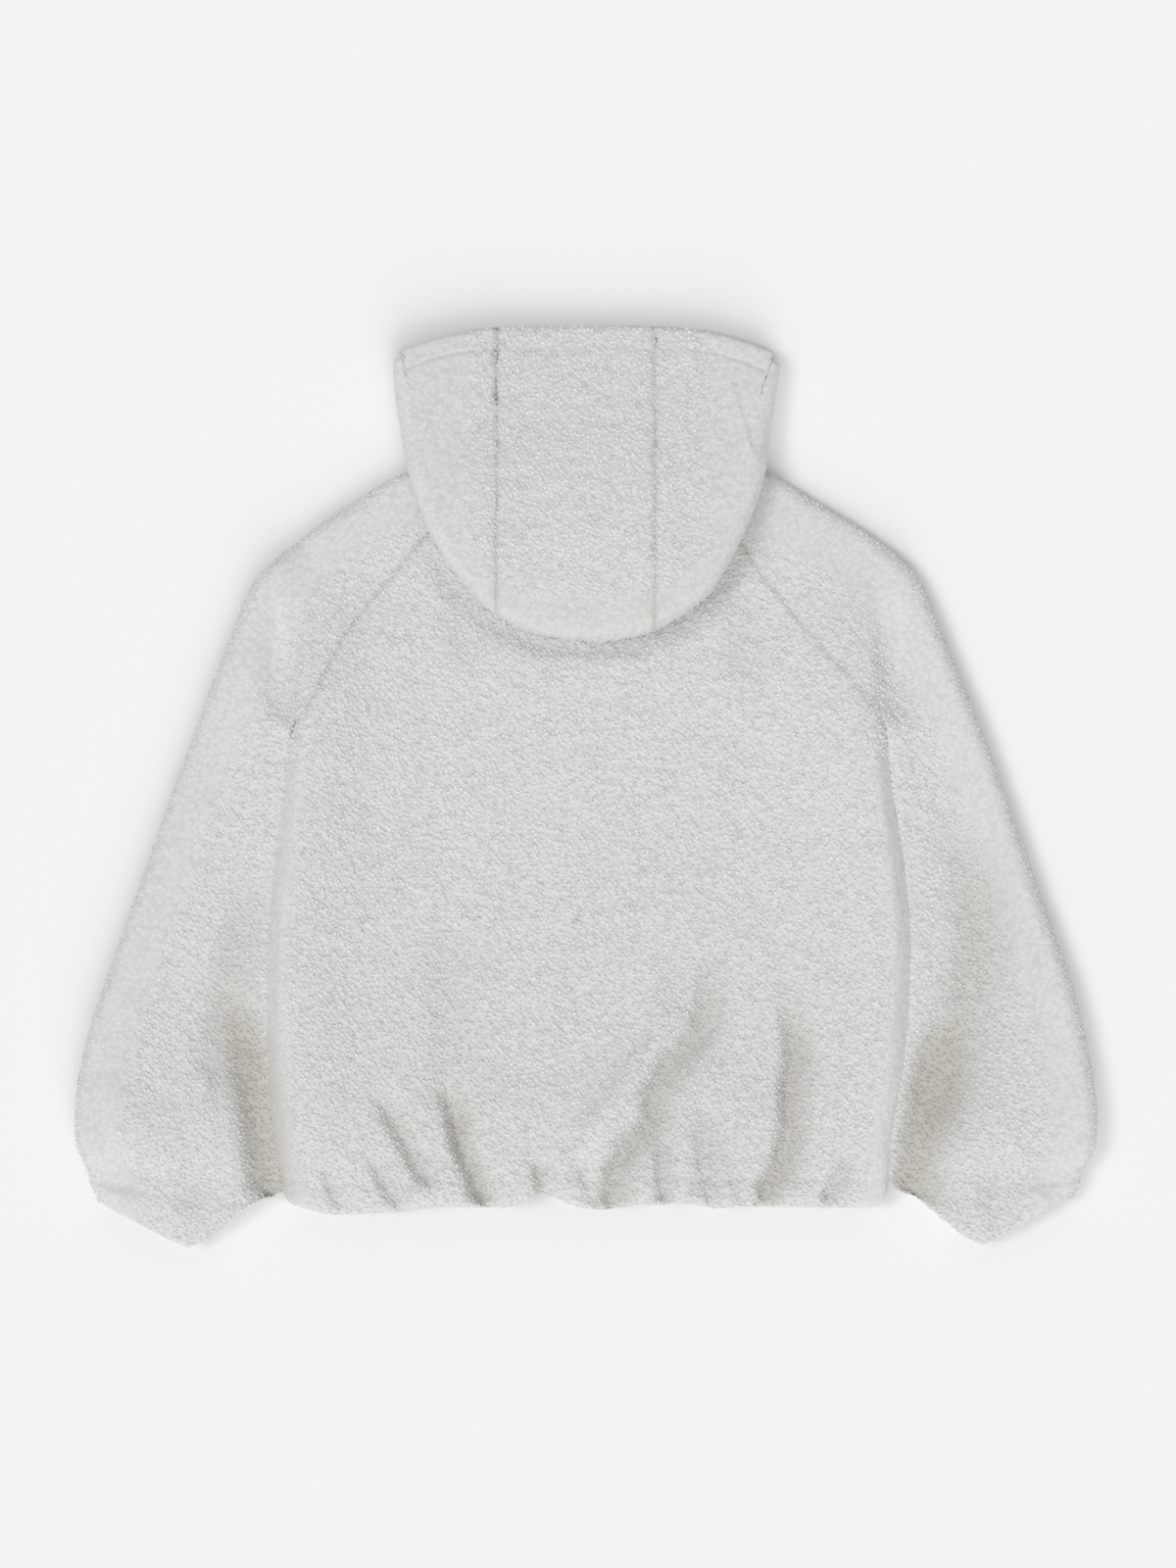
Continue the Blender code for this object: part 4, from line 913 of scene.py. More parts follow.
        start = inner_in + (roll - inner_in) * (1 - np.cos(angles))
        x, y, top = upper(start)
        first_top = top - inset - fall
        rolled = seam_z + (first_top - seam_z) * form.shoulder_of_roll(np.cos(angles))
        z = first_top + tube * (rolled - first_top)
        turned = unjoined * form.seam_turn(v) * bump(start / self.seam_turn_blend) * math.pi / 2
        y = y + inset * np.sin(turned)
        z = z + inset * (1 - np.cos(turned))
        seam = form.raglan_seam(side, joined, True)[face.value]
        z = z + unjoined * (seam[:, 2:] - z[:, :1]) * bump(start / self.seam_blend)
        parts = [(x, y, z)]

        steps = round(np.median(length) / self.spacing)
        run = np.linspace(0.0, 1.0, steps + 1)[1:][None, :]
        x, y, top = upper(roll + run * (length - 2 * roll))
        parts.append((x, y, top - inset - fall))

        _, _, shoulder = upper(length - roll)
        fold_z = 0.5 * shoulder
        reach = length - roll + (roll - inset) * np.sin(angles[:, 1:])
        x, y, _ = across_section(top_end, reach)
        parts.append((x, y, fold_z + (shoulder - inset - fall - fold_z) * np.cos(angles[:, 1:])))

        lowest = inset + fall
        reach = low_length - roll + (roll - inset) * np.cos(angles[:, 1:])
        x, y, _ = across_section(floor_end, reach)
        parts.append((x, y, fold_z - (fold_z - lowest) * np.sin(angles[:, 1:])))

        floor_run = np.linspace(0.0, 1.0, round(np.median(length) / self.floor_spacing) + 1)[1:-1][None, :]
        x, y, _ = across_section(floor_end, low_length - roll - floor_run * (low_length - 2 * roll))
        parts.append((x, y, lowest + 0 * x))

        start = inner_in + (roll - inner_in) * (1 - np.cos(angles[:, ::-1]))
        x, y, _ = across_section(floor_end, start)
        z = lowest + tube * ((seam_z - lowest) * (1 - np.sin(angles[:, ::-1])))
        seam = form.raglan_seam(side, joined, False)[face.value]
        z = z + unjoined * (seam[:, 2:] - z[:, -1:]) * bump(start / self.seam_blend)
        parts.append((x, y, z))
        grid = np.stack([np.concatenate([part[k] for part in parts], axis=1) for k in range(3)], axis=-1)

        on_raglan = v[:, 0] <= form.raglan_rows
        for column, on_back in ((0, True), (-1, False)):
            edge = form.raglan_seam(side, v[on_raglan, 0], on_back)[face.value]
            grid[on_raglan, column] = form.set_back(edge, side, False)
            if on_back:
                grid[on_raglan, 0, 0] -= side.value * form.side_overlap * self.tuck(v[on_raglan, 0])
            grid[:, column, 2] += form.seam_gap * (1 if on_back else -1) * form.seam_turn(v[:, 0])
        return grid

    def skin(self) -> Skin:
        """Lay the sleeve out; its pile is brushed flat along the outer fold and on the floor."""
        v = self.rows()
        outer = self.layout(v, Face.OUTER)
        table = rows_at(SLEEVE_SECTIONS[self.side], v)
        from_fold = table[:, 2:3] - np.abs(outer[..., 0])
        brushed = bump((from_fold - self.brushed_in) / self.brushed_width)
        brushed = np.maximum(brushed, self.pressed(outer))
        return Skin(outer, self.layout(v, Face.INNER), brushed, [outer[:, 0], outer[:, -1], outer[0]])


@dataclass(frozen=True)
class HoodPanel(ClothPiece):
    """A panel of the hood, laid down the back: under, round its fold and back over the top."""

    roll: float = 15.0
    short_roll: float = 0.45
    roll_gain: float = 0.55
    full_roll_length: float = 40.0
    clearance: float = 1.2
    fold_rise: float = 19.0
    sag: float = 3.0
    sag_from: float = 250.0
    sag_reach: float = 150.0
    sag_width: float = 90.0
    flap_run: float = 0.9
    step_start: float = 5.0
    step_length: float = 24.0
    under_length: float = 110.0
    over_length: float = 245.0
    stitch_in: float = 21.0
    stitch_depth: float = 0.8
    stitch_width: float = 1.6
    stitch_from_z: float = 12.0
    stitch_fade: float = 8.0
    brushed_columns: float = 7.0
    brushed_full: float = 0.8
    softness: float = 4.0
    rim_share: float = 0.75
    wobble: float = 1.5
    wobble_pitch: float = 13.0

    def floor_height(self, x: Array, y: Array) -> Array:
        """Lowest height for the hood: over the body and sleeves, then down to the floor."""
        past = y - column_at(SHOULDER, np.abs(x))
        down = smoothstep((past - self.step_start) / self.step_length)
        return (self.form.crown(x, y) + self.clearance) * (1.0 - down)

    def top_height(self, x: Array, y: Array, least: Any) -> Array:
        """Height of the hood's upper cloth, its mouth's middle sunk a little."""
        sunk = self.sag * smoothstep((y - self.sag_from) / self.sag_reach) * bump(x / self.sag_width)
        return soft_maximum(column_at(HOOD_TOP, y) - sunk, least, self.softness)

    def seam_wobble(self, y: Array) -> Array:
        """How far a long seam wanders sideways at height y."""
        places = np.stack([0.0 * y, y, 0.0 * y], axis=-1)
        return self.wobble * lattice_noise(places, self.wobble_pitch, 5)

    def line(self, start: Array, turn: Array, end: Array, folded: bool, face: Face) -> Array:
        """Points of one line down the cloth.

        Args:
            start: Its place at the neck.
            turn: Its place at the fold.
            end: Its place at the opening's edge.
            folded: False where the cloth lies flat on the floor.
            face: Outer or inner.

        Returns:
            A row of points, as many for a flat line as for a folded one.
        """
        form, inset = self.form, self.form.inset(face)
        under = np.linspace(0.0, 1.0, round(self.under_length / self.spacing) + 1)
        over = np.linspace(0.0, 1.0, round(self.over_length / self.spacing) + 1)
        angles = np.linspace(0.0, math.pi, 2 * self.roll_steps(self.roll) + 1)[1:]
        if not folded:
            count = len(angles) + len(over) - 1
            beyond = self.flap_run + (1 - self.flap_run) * np.arange(1, count + 1) / count
            share = np.concatenate([under * self.flap_run, beyond])
            plan = start + (end - start) * share[:, None]
            z = inset + form.edge_fall((1 - share) * np.linalg.norm(end - start), face)
            return np.concatenate([plan, z[:, None]], axis=1)
        outward = unit(unit(turn - start) - unit(end - turn))
        short = min(1.0, float(np.linalg.norm(end - turn)) / self.full_roll_length)
        roll = self.roll * (self.short_roll + self.roll_gain * short)
        pivot = turn - outward * roll
        plan = start + (pivot - start) * under[:, None]
        low = self.floor_height(plan[:, 0], plan[:, 1])
        lower = np.concatenate([plan, (low + inset)[:, None]], axis=1)
        low_end = low[-1]
        high_end = self.top_height(pivot[0], pivot[1], low_end + self.fold_rise)
        middle = 0.5 * (low_end + high_end)
        half = middle - low_end - inset
        reach = (roll - inset) * np.sin(angles)
        fold_z = middle - half * np.cos(angles)
        fold = np.concatenate([pivot + outward * reach[:, None], fold_z[:, None]], axis=1)
        plan = pivot + (end - pivot) * over[1:, None]
        rim = high_end - self.top_height(pivot[0], pivot[1], 0.0)
        high = self.top_height(plan[:, 0], plan[:, 1], 0.0) + rim * bump(over[1:] / self.rim_share)
        fall = form.edge_fall((1 - over[1:]) * np.linalg.norm(end - pivot), face)
        upper = np.concatenate([plan, (high - inset - fall)[:, None]], axis=1)
        return np.concatenate([lower, fold, upper], axis=0)

    def edge_stitching(self, outer: Array) -> Array:
        """Depth of the stitch line that runs beside the opening's edge."""
        from_edge = np.linalg.norm(outer - outer[:, -1:], axis=-1)
        on_top = smoothstep((outer[..., 2] - self.stitch_from_z) / self.stitch_fade)
        return self.stitch_depth * bump((from_edge - self.stitch_in) / self.stitch_width) * on_top

    def brushed_fold(self, outer: Array) -> Array:
        """How far the pile is brushed flat, round the fold at the hood's foot."""
        columns = np.arange(outer.shape[1])
        fold_at = round(self.under_length / self.spacing) + 2 * self.roll_steps(self.roll)
        near = bump((columns - fold_at) / self.brushed_columns)[None, :]
        return np.broadcast_to(near, outer.shape[:2]) * self.brushed_full


@dataclass(frozen=True)
class HoodSide(HoodPanel):
    """One side of the hood, from the centre front round to the centre panel's seam."""

    side: Side = Side.LEFT
    brushed_from: float = 88.0
    brushed_reach: float = 40.0
    brushed_side: float = 0.75

    def layout(self, v: Array, face: Face) -> Array:
        """Points of one face, a row for each line round the hood."""
        table = HOOD_LINES[self.side]
        mirror = np.array([self.side.value, 1.0])

        def line_at(number: float, folded: bool) -> Array:
            row = rows_at(table, [number])[0].reshape(3, 2) * mirror
            return self.line(row[0], row[1], row[2], folded, face)

        flat_end, fold_start = HOOD_FLAT_ROWS - 1.0, float(HOOD_FLAT_ROWS)
        flat_line, folded_line = line_at(flat_end, False), line_at(fold_start, True)
        rows = []
        for number in v:
            if number <= flat_end:
                rows.append(line_at(number, False))
            elif number < fold_start:
                share = number - flat_end
                rows.append(flat_line * (1 - share) + folded_line * share)
            else:
                rows.append(line_at(number, True))
        grid = np.array(rows)
        grid[-1, :, 0] += self.side.value * self.form.seam_gap + self.seam_wobble(grid[-1, :, 1])
        return grid

    def skin(self) -> Skin:
        """Lay the side out, with the seams at the neck and the centre panel."""
        table = HOOD_LINES[self.side]
        v = even_rows(lambda n: rows_at(table, n)[:, 2:4], 0.0, len(table) - 1.0, self.spacing)
        outer = self.layout(v, Face.OUTER)
        off_centre = smoothstep((np.abs(outer[..., 0]) - self.brushed_from) / self.brushed_reach)
        brushed = np.maximum(self.brushed_fold(outer), self.brushed_side * off_centre)
        return Skin(outer, self.layout(v, Face.INNER), brushed, [outer[:, 0], outer[-1]],
                    self.edge_stitching(outer))


@dataclass(frozen=True)
class HoodCentre(HoodPanel):
    """The hood's centre panel, between its two long seams."""

    def layout(self, v: Array, face: Face) -> Array:
        """Points of one face, a row for each line, left to right."""
        rows = []
        for x, start, turn, end in rows_at(HOOD_CENTRE_LINES, v):
            rows.append(self.line(np.array([x, start]), np.array([x, turn]), np.array([x, end]), True, face))
        grid = np.array(rows)
        grid[0, :, 0] += self.form.seam_gap + self.seam_wobble(grid[0, :, 1])
        grid[-1, :, 0] += self.seam_wobble(grid[-1, :, 1]) - self.form.seam_gap
        return grid

    def skin(self) -> Skin:
        """Lay the centre panel out between its seams."""
        across = abs(HOOD_CENTRE_LINES[0][0] - HOOD_CENTRE_LINES[-1][0])
        v = np.linspace(0.0, len(HOOD_CENTRE_LINES) - 1.0, round(across / self.spacing) + 1)
        outer = self.layout(v, Face.OUTER)
        seams = [outer[:, 0], outer[0], outer[-1]]
        return Skin(outer, self.layout(v, Face.INNER), self.brushed_fold(outer), seams,
                    self.edge_stitching(outer))


# ------------------------------------------------------------------ node helpers
def add_node(tree: bpy.types.NodeTree, kind: str, settings: dict[str, Any] | None = None,
             links: dict[Any, Any] | None = None) -> bpy.types.Node:
    """Add a node with its settings and links.

    Args:
        tree: The tree that takes the node.
        kind: The node's type name.
        settings: Values for the node's own properties.
        links: For each input, by name or number, a value or another node's output.

    Returns:
        The new node.
    """
    node = tree.nodes.new(kind)
    for key, value in (settings or {}).items():
        setattr(node, key, value)
    for key, value in (links or {}).items():
        if isinstance(value, bpy.types.NodeSocket):
            tree.links.new(value, node.inputs[key])
        else:
            node.inputs[key].default_value = value
    return node


def linear(hex_colour: str) -> tuple[float, float, float, float]:
    """Turn an sRGB hex colour such as #DDEEFF to linear light."""
    channels = [int(hex_colour[k:k + 2], 16) / 255.0 for k in (1, 3, 5)]
    straight = [c / 12.92 if c <= 0.04045 else ((c + 0.055) / 1.055) ** 2.4 for c in channels]
    return (straight[0], straight[1], straight[2], 1.0)


def noise(tree: bpy.types.NodeTree, place: bpy.types.NodeSocket, size: float,
          **more: float) -> bpy.types.NodeSocket:
    """Add a noise texture whose features are size millimetres wide, and give its value."""
    links = {"Vector": place, "Scale": 1.0 / (size * MM), **more}
    return add_node(tree, "ShaderNodeTexNoise", None, links).outputs["Fac"]


def mix_colours(tree: bpy.types.NodeTree, factor: bpy.types.NodeSocket, first: Any,
                second: Any) -> bpy.types.NodeSocket:
    """Blend from one colour to another as factor rises; each is a hex colour or an output."""
    first, second = (linear(c) if isinstance(c, str) else c for c in (first, second))
    links = {0: factor, 6: first, 7: second}
    return add_node(tree, "ShaderNodeMix", {"data_type": "RGBA"}, links).outputs[2]


def new_material(name: str) -> tuple[bpy.types.Material, bpy.types.NodeTree, bpy.types.Node]:
    """Start a material.

    Args:
        name: The real material's name.

    Returns:
        The material, its node tree and its Principled shader.
    """
    material = bpy.data.materials.new(name)
    material.use_nodes = True
    tree = material.node_tree
    return material, tree, tree.nodes["Principled BSDF"]


# ------------------------------------------------------------------ finishes
@dataclass(frozen=True)
class SherpaFinish:
    """Sherpa: polyester pile knitted into a backing, brushed and tumbled into curls.

    It scatters light softly with no gloss and a faint pale nap. Its colour carries painted shade: a darker
    grey between the curls, and a darker, warmer colour in folds, seam grooves and stitch lines.
    """

    name: str = "tumbled polyester sherpa pile"
    curl: str = "#E5E5E6"
    # Painted shade: the darker grey between the curls and on the cloth shell below them.
    shade_between_curls: str = "#C8C8C6"
    # Painted shade: the darker, warmer colour in folds, seam grooves and stitch lines.
    crease_shade: str = "#C1BEB5"
    roughness: float = 0.96
    nap: float = 0.25
    curl_size: float = 4.2
    fibre_size: float = 1.1
    patch_size: float = 38.0
    curl_relief: float = 0.9
    fibre_relief: float = 0.45
    shade_weight: float = -0.6
    patch_weight: float = 0.2

    def material(self) -> bpy.types.Material:
        """Build the finish: curl and fibre relief, the curls' colour, and painted shade between the curls and
        in folds, seam grooves and stitch lines.
        """
        material, tree, shader = new_material(self.name)
        place = add_node(tree, "ShaderNodeTexCoord").outputs["Object"]
        curls = add_node(tree, "ShaderNodeTexVoronoi", {"feature": "SMOOTH_F1"}, {
            "Vector": place, "Scale": 1.0 / (self.curl_size * MM), "Smoothness": 0.6, "Randomness": 1.0})
        fibres = noise(tree, place, self.fibre_size, Detail=3.0, Roughness=0.6)
        patches = noise(tree, place, self.patch_size, Detail=2.0, Roughness=0.5)
        shade = add_node(tree, "ShaderNodeAttribute", {"attribute_name": "curl_shade"})
        crease_shade = add_node(tree, "ShaderNodeAttribute", {"attribute_name": "crease_shade"})
        # Painted shade between the curls: the colour darkens towards the edges of each curl's cell.
        depth = add_node(tree, "ShaderNodeMapRange", None, {
            "Value": curls.outputs["Distance"],
            "From Min": 0.1, "From Max": 0.8, "To Min": 0.0, "To Max": 0.5})
        lift = add_node(tree, "ShaderNodeMath", {"operation": "MULTIPLY_ADD"}, {
            0: shade.outputs["Fac"], 1: self.shade_weight, 2: depth.outputs["Result"]})
        tone_and_shade_between_curls = add_node(tree, "ShaderNodeMath", {"operation": "MULTIPLY_ADD", "use_clamp": True}, {
            0: patches, 1: self.patch_weight, 2: lift.outputs["Value"]})
        cloth = mix_colours(tree, tone_and_shade_between_curls.outputs["Value"], self.curl, self.shade_between_curls)
        # Painted shade: a darker, warmer colour in folds, seam grooves and stitch lines, read from the cloth's
        # attribute.
        crease_shaded_cloth = mix_colours(tree, crease_shade.outputs["Fac"], cloth, self.crease_shade)
        tree.links.new(crease_shaded_cloth, shader.inputs["Base Color"])
        curl_bump = add_node(tree, "ShaderNodeBump", {"invert": True}, {
            "Strength": 0.55, "Distance": self.curl_relief * MM, "Height": curls.outputs["Distance"]})
        fibre_bump = add_node(tree, "ShaderNodeBump", None, {
            "Strength": 0.5, "Distance": self.fibre_relief * MM, "Height": fibres,
            "Normal": curl_bump.outputs["Normal"]})
        tree.links.new(fibre_bump.outputs["Normal"], shader.inputs["Normal"])
        shader.inputs["Roughness"].default_value = self.roughness
        shader.inputs["Specular IOR Level"].default_value = 0.15
        shader.inputs["Sheen Weight"].default_value = self.nap
        shader.inputs["Sheen Roughness"].default_value = 0.6
        return material


@dataclass(frozen=True)
class TapeFinish:
    """Woven polyester zip tape: a fine twill that shows as slanted ribs with a soft sheen."""

    name: str = "woven polyester zip tape"
    light: str = "#EDEAE2"
    dark: str = "#D5D1C6"
    rib: float = 0.7
    slant: float = 35.0
    thread_size: float = 0.5

    def material(self) -> bpy.types.Material:
        """Build the finish from slanted ribs and a fine uneven thread."""
        material, tree, shader = new_material(self.name)
        place = add_node(tree, "ShaderNodeTexCoord").outputs["Object"]
        turned = add_node(tree, "ShaderNodeMapping", None, {
            "Vector": place, "Rotation": (0.0, 0.0, math.radians(self.slant))})
        ribs = add_node(tree, "ShaderNodeTexWave", {"wave_type": "BANDS"}, {
            "Vector": turned.outputs["Vector"], "Scale": 0.314 / (self.rib * MM), "Distortion": 0.4})
        thread = noise(tree, place, self.thread_size, Detail=2.0)
        mixed = add_node(tree, "ShaderNodeMath", {"operation": "MULTIPLY"}, {
            0: ribs.outputs["Fac"], 1: thread})
        colour = mix_colours(tree, mixed.outputs["Value"], self.dark, self.light)
        tree.links.new(colour, shader.inputs["Base Color"])
        relief = add_node(tree, "ShaderNodeBump", None, {
            "Strength": 0.5, "Distance": 0.2 * MM, "Height": mixed.outputs["Value"]})
        tree.links.new(relief.outputs["Normal"], shader.inputs["Normal"])
        shader.inputs["Roughness"].default_value = 0.8
        shader.inputs["Sheen Weight"].default_value = 0.2
        return material


@dataclass(frozen=True)
class EnamelFinish:
    """Baked enamel over die-cast zinc: smooth, softly glossy, with faint handling marks."""

    name: str = "cream enamel on die-cast zinc"
    fresh: str = "#E2DFD6"
    handled: str = "#CFCBC0"
    mark_size: float = 3.5

    def material(self) -> bpy.types.Material:
        """Build the finish from a slightly mottled colour and uneven gloss."""
        material, tree, shader = new_material(self.name)
        place = add_node(tree, "ShaderNodeTexCoord").outputs["Object"]
        marks = noise(tree, place, self.mark_size, Detail=4.0, Roughness=0.65)
        colour = mix_colours(tree, marks, self.fresh, self.handled)
        gloss = add_node(tree, "ShaderNodeMapRange", None, {"Value": marks, "To Min": 0.28, "To Max": 0.5})
        relief = add_node(tree, "ShaderNodeBump", None, {
            "Strength": 0.15, "Distance": 0.1 * MM, "Height": marks})
        tree.links.new(colour, shader.inputs["Base Color"])
        tree.links.new(gloss.outputs["Result"], shader.inputs["Roughness"])
        tree.links.new(relief.outputs["Normal"], shader.inputs["Normal"])
        shader.inputs["Metallic"].default_value = 0.25
        return material


@dataclass(frozen=True)
class ThreadFinish:
    """Spun polyester sewing thread: matt, twisted, the colour of the tape."""

    name: str = "spun polyester sewing thread"
    light: str = "#F0EEE6"
    dark: str = "#D8D4C9"
    twist_size: float = 0.4

    def material(self) -> bpy.types.Material:
        """Build the finish from the thread's fine twist."""
        material, tree, shader = new_material(self.name)
        place = add_node(tree, "ShaderNodeTexCoord").outputs["Object"]
        colour = mix_colours(tree, noise(tree, place, self.twist_size), self.dark, self.light)
        tree.links.new(colour, shader.inputs["Base Color"])
        shader.inputs["Roughness"].default_value = 0.85
        return material


@dataclass(frozen=True)
class BackdropFinish:
    """Seamless studio paper: an even, matt, very pale grey with a barely seen tooth."""

    name: str = "matt studio paper"
    colour: str = "#F5F5F5"
    tooth: str = "#F3F3F3"
    tooth_size: float = 6.0

    def material(self) -> bpy.types.Material:
        """Build the finish from a faint paper tooth."""
        material, tree, shader = new_material(self.name)
        place = add_node(tree, "ShaderNodeTexCoord").outputs["Object"]
        colour = mix_colours(tree, noise(tree, place, self.tooth_size), self.colour, self.tooth)
        tree.links.new(colour, shader.inputs["Base Color"])
        shader.inputs["Roughness"].default_value = 1.0
        shader.inputs["Specular IOR Level"].default_value = 0.0
        return material


# ------------------------------------------------------------------ repeating forms
def new_tree(
        name: str, inputs: Sequence[tuple[str, str, Any]],
) -> tuple[bpy.types.NodeTree, dict[str, Any], bpy.types.Node]:
    """Start a Geometry Nodes tree with named inputs.

    Args:
        name: The tree's name.
        inputs: For each input after the geometry, its name, socket type and default.

    Returns:
        The tree, its input sockets by name, and its output node.
    """
    tree = bpy.data.node_groups.new(name, "GeometryNodeTree")
    tree.interface.new_socket("Geometry", in_out="INPUT", socket_type="NodeSocketGeometry")
    tree.interface.new_socket("Geometry", in_out="OUTPUT", socket_type="NodeSocketGeometry")
    for title, kind, default in inputs:
        socket = tree.interface.new_socket(title, in_out="INPUT", socket_type=kind)
        if default is not None:
            socket.default_value = default
    given = tree.nodes.new("NodeGroupInput")
    return tree, {socket.name: socket for socket in given.outputs}, tree.nodes.new("NodeGroupOutput")


def evaluate_nodes(holder: bpy.types.Object, tree: bpy.types.NodeTree, values: dict[str, Any],
                   name: str) -> bpy.types.Mesh:
    """Run a tree on an object and keep the result as a plain mesh.

    Args:
        holder: The object whose mesh goes in; it is removed.
        tree: The Geometry Nodes tree.
        values: Values for the tree's inputs, by name.
        name: The result's name.

    Returns:
        The evaluated mesh.
    """
    modifier = holder.modifiers.new(tree.name, "NODES")
    modifier.node_group = tree
    for item in tree.interface.items_tree:
        if item.in_out == "INPUT" and item.name in values:
            modifier[item.identifier] = values[item.name]
    bpy.context.view_layer.update()
    evaluated = holder.evaluated_get(bpy.context.evaluated_depsgraph_get())
    mesh = bpy.data.meshes.new_from_object(evaluated)
    mesh.name = name
    bpy.data.objects.remove(holder, do_unlink=True)
    return mesh


def add_mesh_object(name: str, mesh: bpy.types.Mesh) -> bpy.types.Object:
    """Put a mesh in the scene as an object at the origin."""
    thing = bpy.data.objects.new(name, mesh)
    bpy.context.scene.collection.objects.link(thing)
    return thing


@dataclass(frozen=True)
class CurlField:
    """Curls of pile standing on a piece: small tapered knots, turned at random."""

    length: float = 4.6
    width: float = 3.4
    height: float = 3.3
    tilt: float = 0.8
    least_size: float = 0.72
    most_size: float = 1.25
    crowding: float = 1.3
    seed: int = 11

    def tree(self) -> bpy.types.NodeTree:
        """Build the tree: scatter points, stand a curl on each, realize and dress them."""
        tree, given, output = new_tree("pile curls", [
            ("Pitch", "NodeSocketFloat", 0.0035), ("Seed", "NodeSocketInt", 1),
            ("Size Low", "NodeSocketVector", None), ("Size High", "NodeSocketVector", None),
            ("Turn Low", "NodeSocketVector", None), ("Turn High", "NodeSocketVector", None),
            ("Material", "NodeSocketMaterial", None)])
        pitch = given["Pitch"]
        square = add_node(tree, "ShaderNodeMath", {"operation": "MULTIPLY"}, {0: pitch, 1: pitch})
        density = add_node(tree, "ShaderNodeMath", {"operation": "DIVIDE"}, {
            0: self.crowding, 1: square.outputs[0]})
        scatter = add_node(tree, "GeometryNodeDistributePointsOnFaces", {"distribute_method": "POISSON"}, {
            "Mesh": given["Geometry"], "Distance Min": pitch, "Density Max": density.outputs[0],
            "Seed": given["Seed"]})
        turn = add_node(tree, "FunctionNodeRandomValue", {"data_type": "FLOAT_VECTOR"}, {
            0: given["Turn Low"], 1: given["Turn High"], "Seed": given["Seed"]})
        turned = add_node(tree, "FunctionNodeEulerToRotation", None, {0: turn.outputs[0]})
        rotation = add_node(tree, "FunctionNodeRotateRotation", {"rotation_space": "LOCAL"}, {
            0: scatter.outputs["Rotation"], 1: turned.outputs[0]})
        size = add_node(tree, "FunctionNodeRandomValue", {"data_type": "FLOAT_VECTOR"}, {
            0: given["Size Low"], 1: given["Size High"], "Seed": given["Seed"]})
        standing = add_node(
            tree, "GeometryNodeInputNamedAttribute", {"data_type": "FLOAT"}, {"Name": "standing"}).outputs[0]
        share = add_node(tree, "ShaderNodeCombineXYZ", None, {0: standing, 1: standing, 2: standing})
        scale = add_node(tree, "ShaderNodeVectorMath", {"operation": "MULTIPLY"}, {
            0: size.outputs[0], 1: share.outputs[0]})
        knot = add_node(tree, "GeometryNodeMeshUVSphere", None, {"Segments": 4, "Rings": 2, "Radius": 0.5})
        stood = add_node(tree, "GeometryNodeInstanceOnPoints", None, {
            "Points": scatter.outputs["Points"], "Instance": knot.outputs["Mesh"],
            "Rotation": rotation.outputs[0], "Scale": scale.outputs[0]})
        shade = add_node(tree, "FunctionNodeRandomValue", {"data_type": "FLOAT"}, {"Seed": given["Seed"]})
        on_instances = {"data_type": "FLOAT", "domain": "INSTANCE"}
        marked = add_node(tree, "GeometryNodeStoreNamedAttribute", on_instances, {
            "Geometry": stood.outputs["Instances"], "Name": "curl_shade", "Value": shade.outputs[1]})
        real = add_node(tree, "GeometryNodeRealizeInstances", None, {0: marked.outputs[0]})
        faceted = add_node(tree, "GeometryNodeSetShadeSmooth", None, {0: real.outputs[0], 2: False})
        dressed = add_node(tree, "GeometryNodeSetMaterial", None, {
            "Geometry": faceted.outputs[0], "Material": given["Material"]})
        tree.links.new(dressed.outputs[0], output.inputs[0])
        return tree

    def stand(self, tree: bpy.types.NodeTree, support: bpy.types.Object, name: str, pitch: float,
              material: bpy.types.Material, seed: int) -> bpy.types.Object:
        """Stand curls on a piece's outer face.

        Args:
            tree: The curls' node tree.
            support: An object with the outer face; it is removed.
            name: The new object's name.
            pitch: Least distance between curls in millimetres.
            material: The pile's finish.
            seed: Chooses the scatter.

        Returns:
            The curls as one plain mesh object.
        """
        size = np.array([self.length, self.width, self.height]) * MM
        mesh = evaluate_nodes(support, tree, {
            "Pitch": pitch * MM, "Seed": self.seed + seed, "Material": material,
            "Size Low": (size * self.least_size).tolist(), "Size High": (size * self.most_size).tolist(),
            "Turn Low": (-self.tilt, -self.tilt, 0.0),
            "Turn High": (self.tilt, self.tilt, 2.0 * math.pi)}, name)
        points = np.empty(len(mesh.vertices) * 3, np.float32)
        mesh.vertices.foreach_get("co", points)
        points = points.reshape(-1, 3)
        points[:, 2] = np.maximum(points[:, 2], 0.0)
        mesh.vertices.foreach_set("co", points.ravel())
        mesh.update()
        return add_mesh_object(name, mesh)


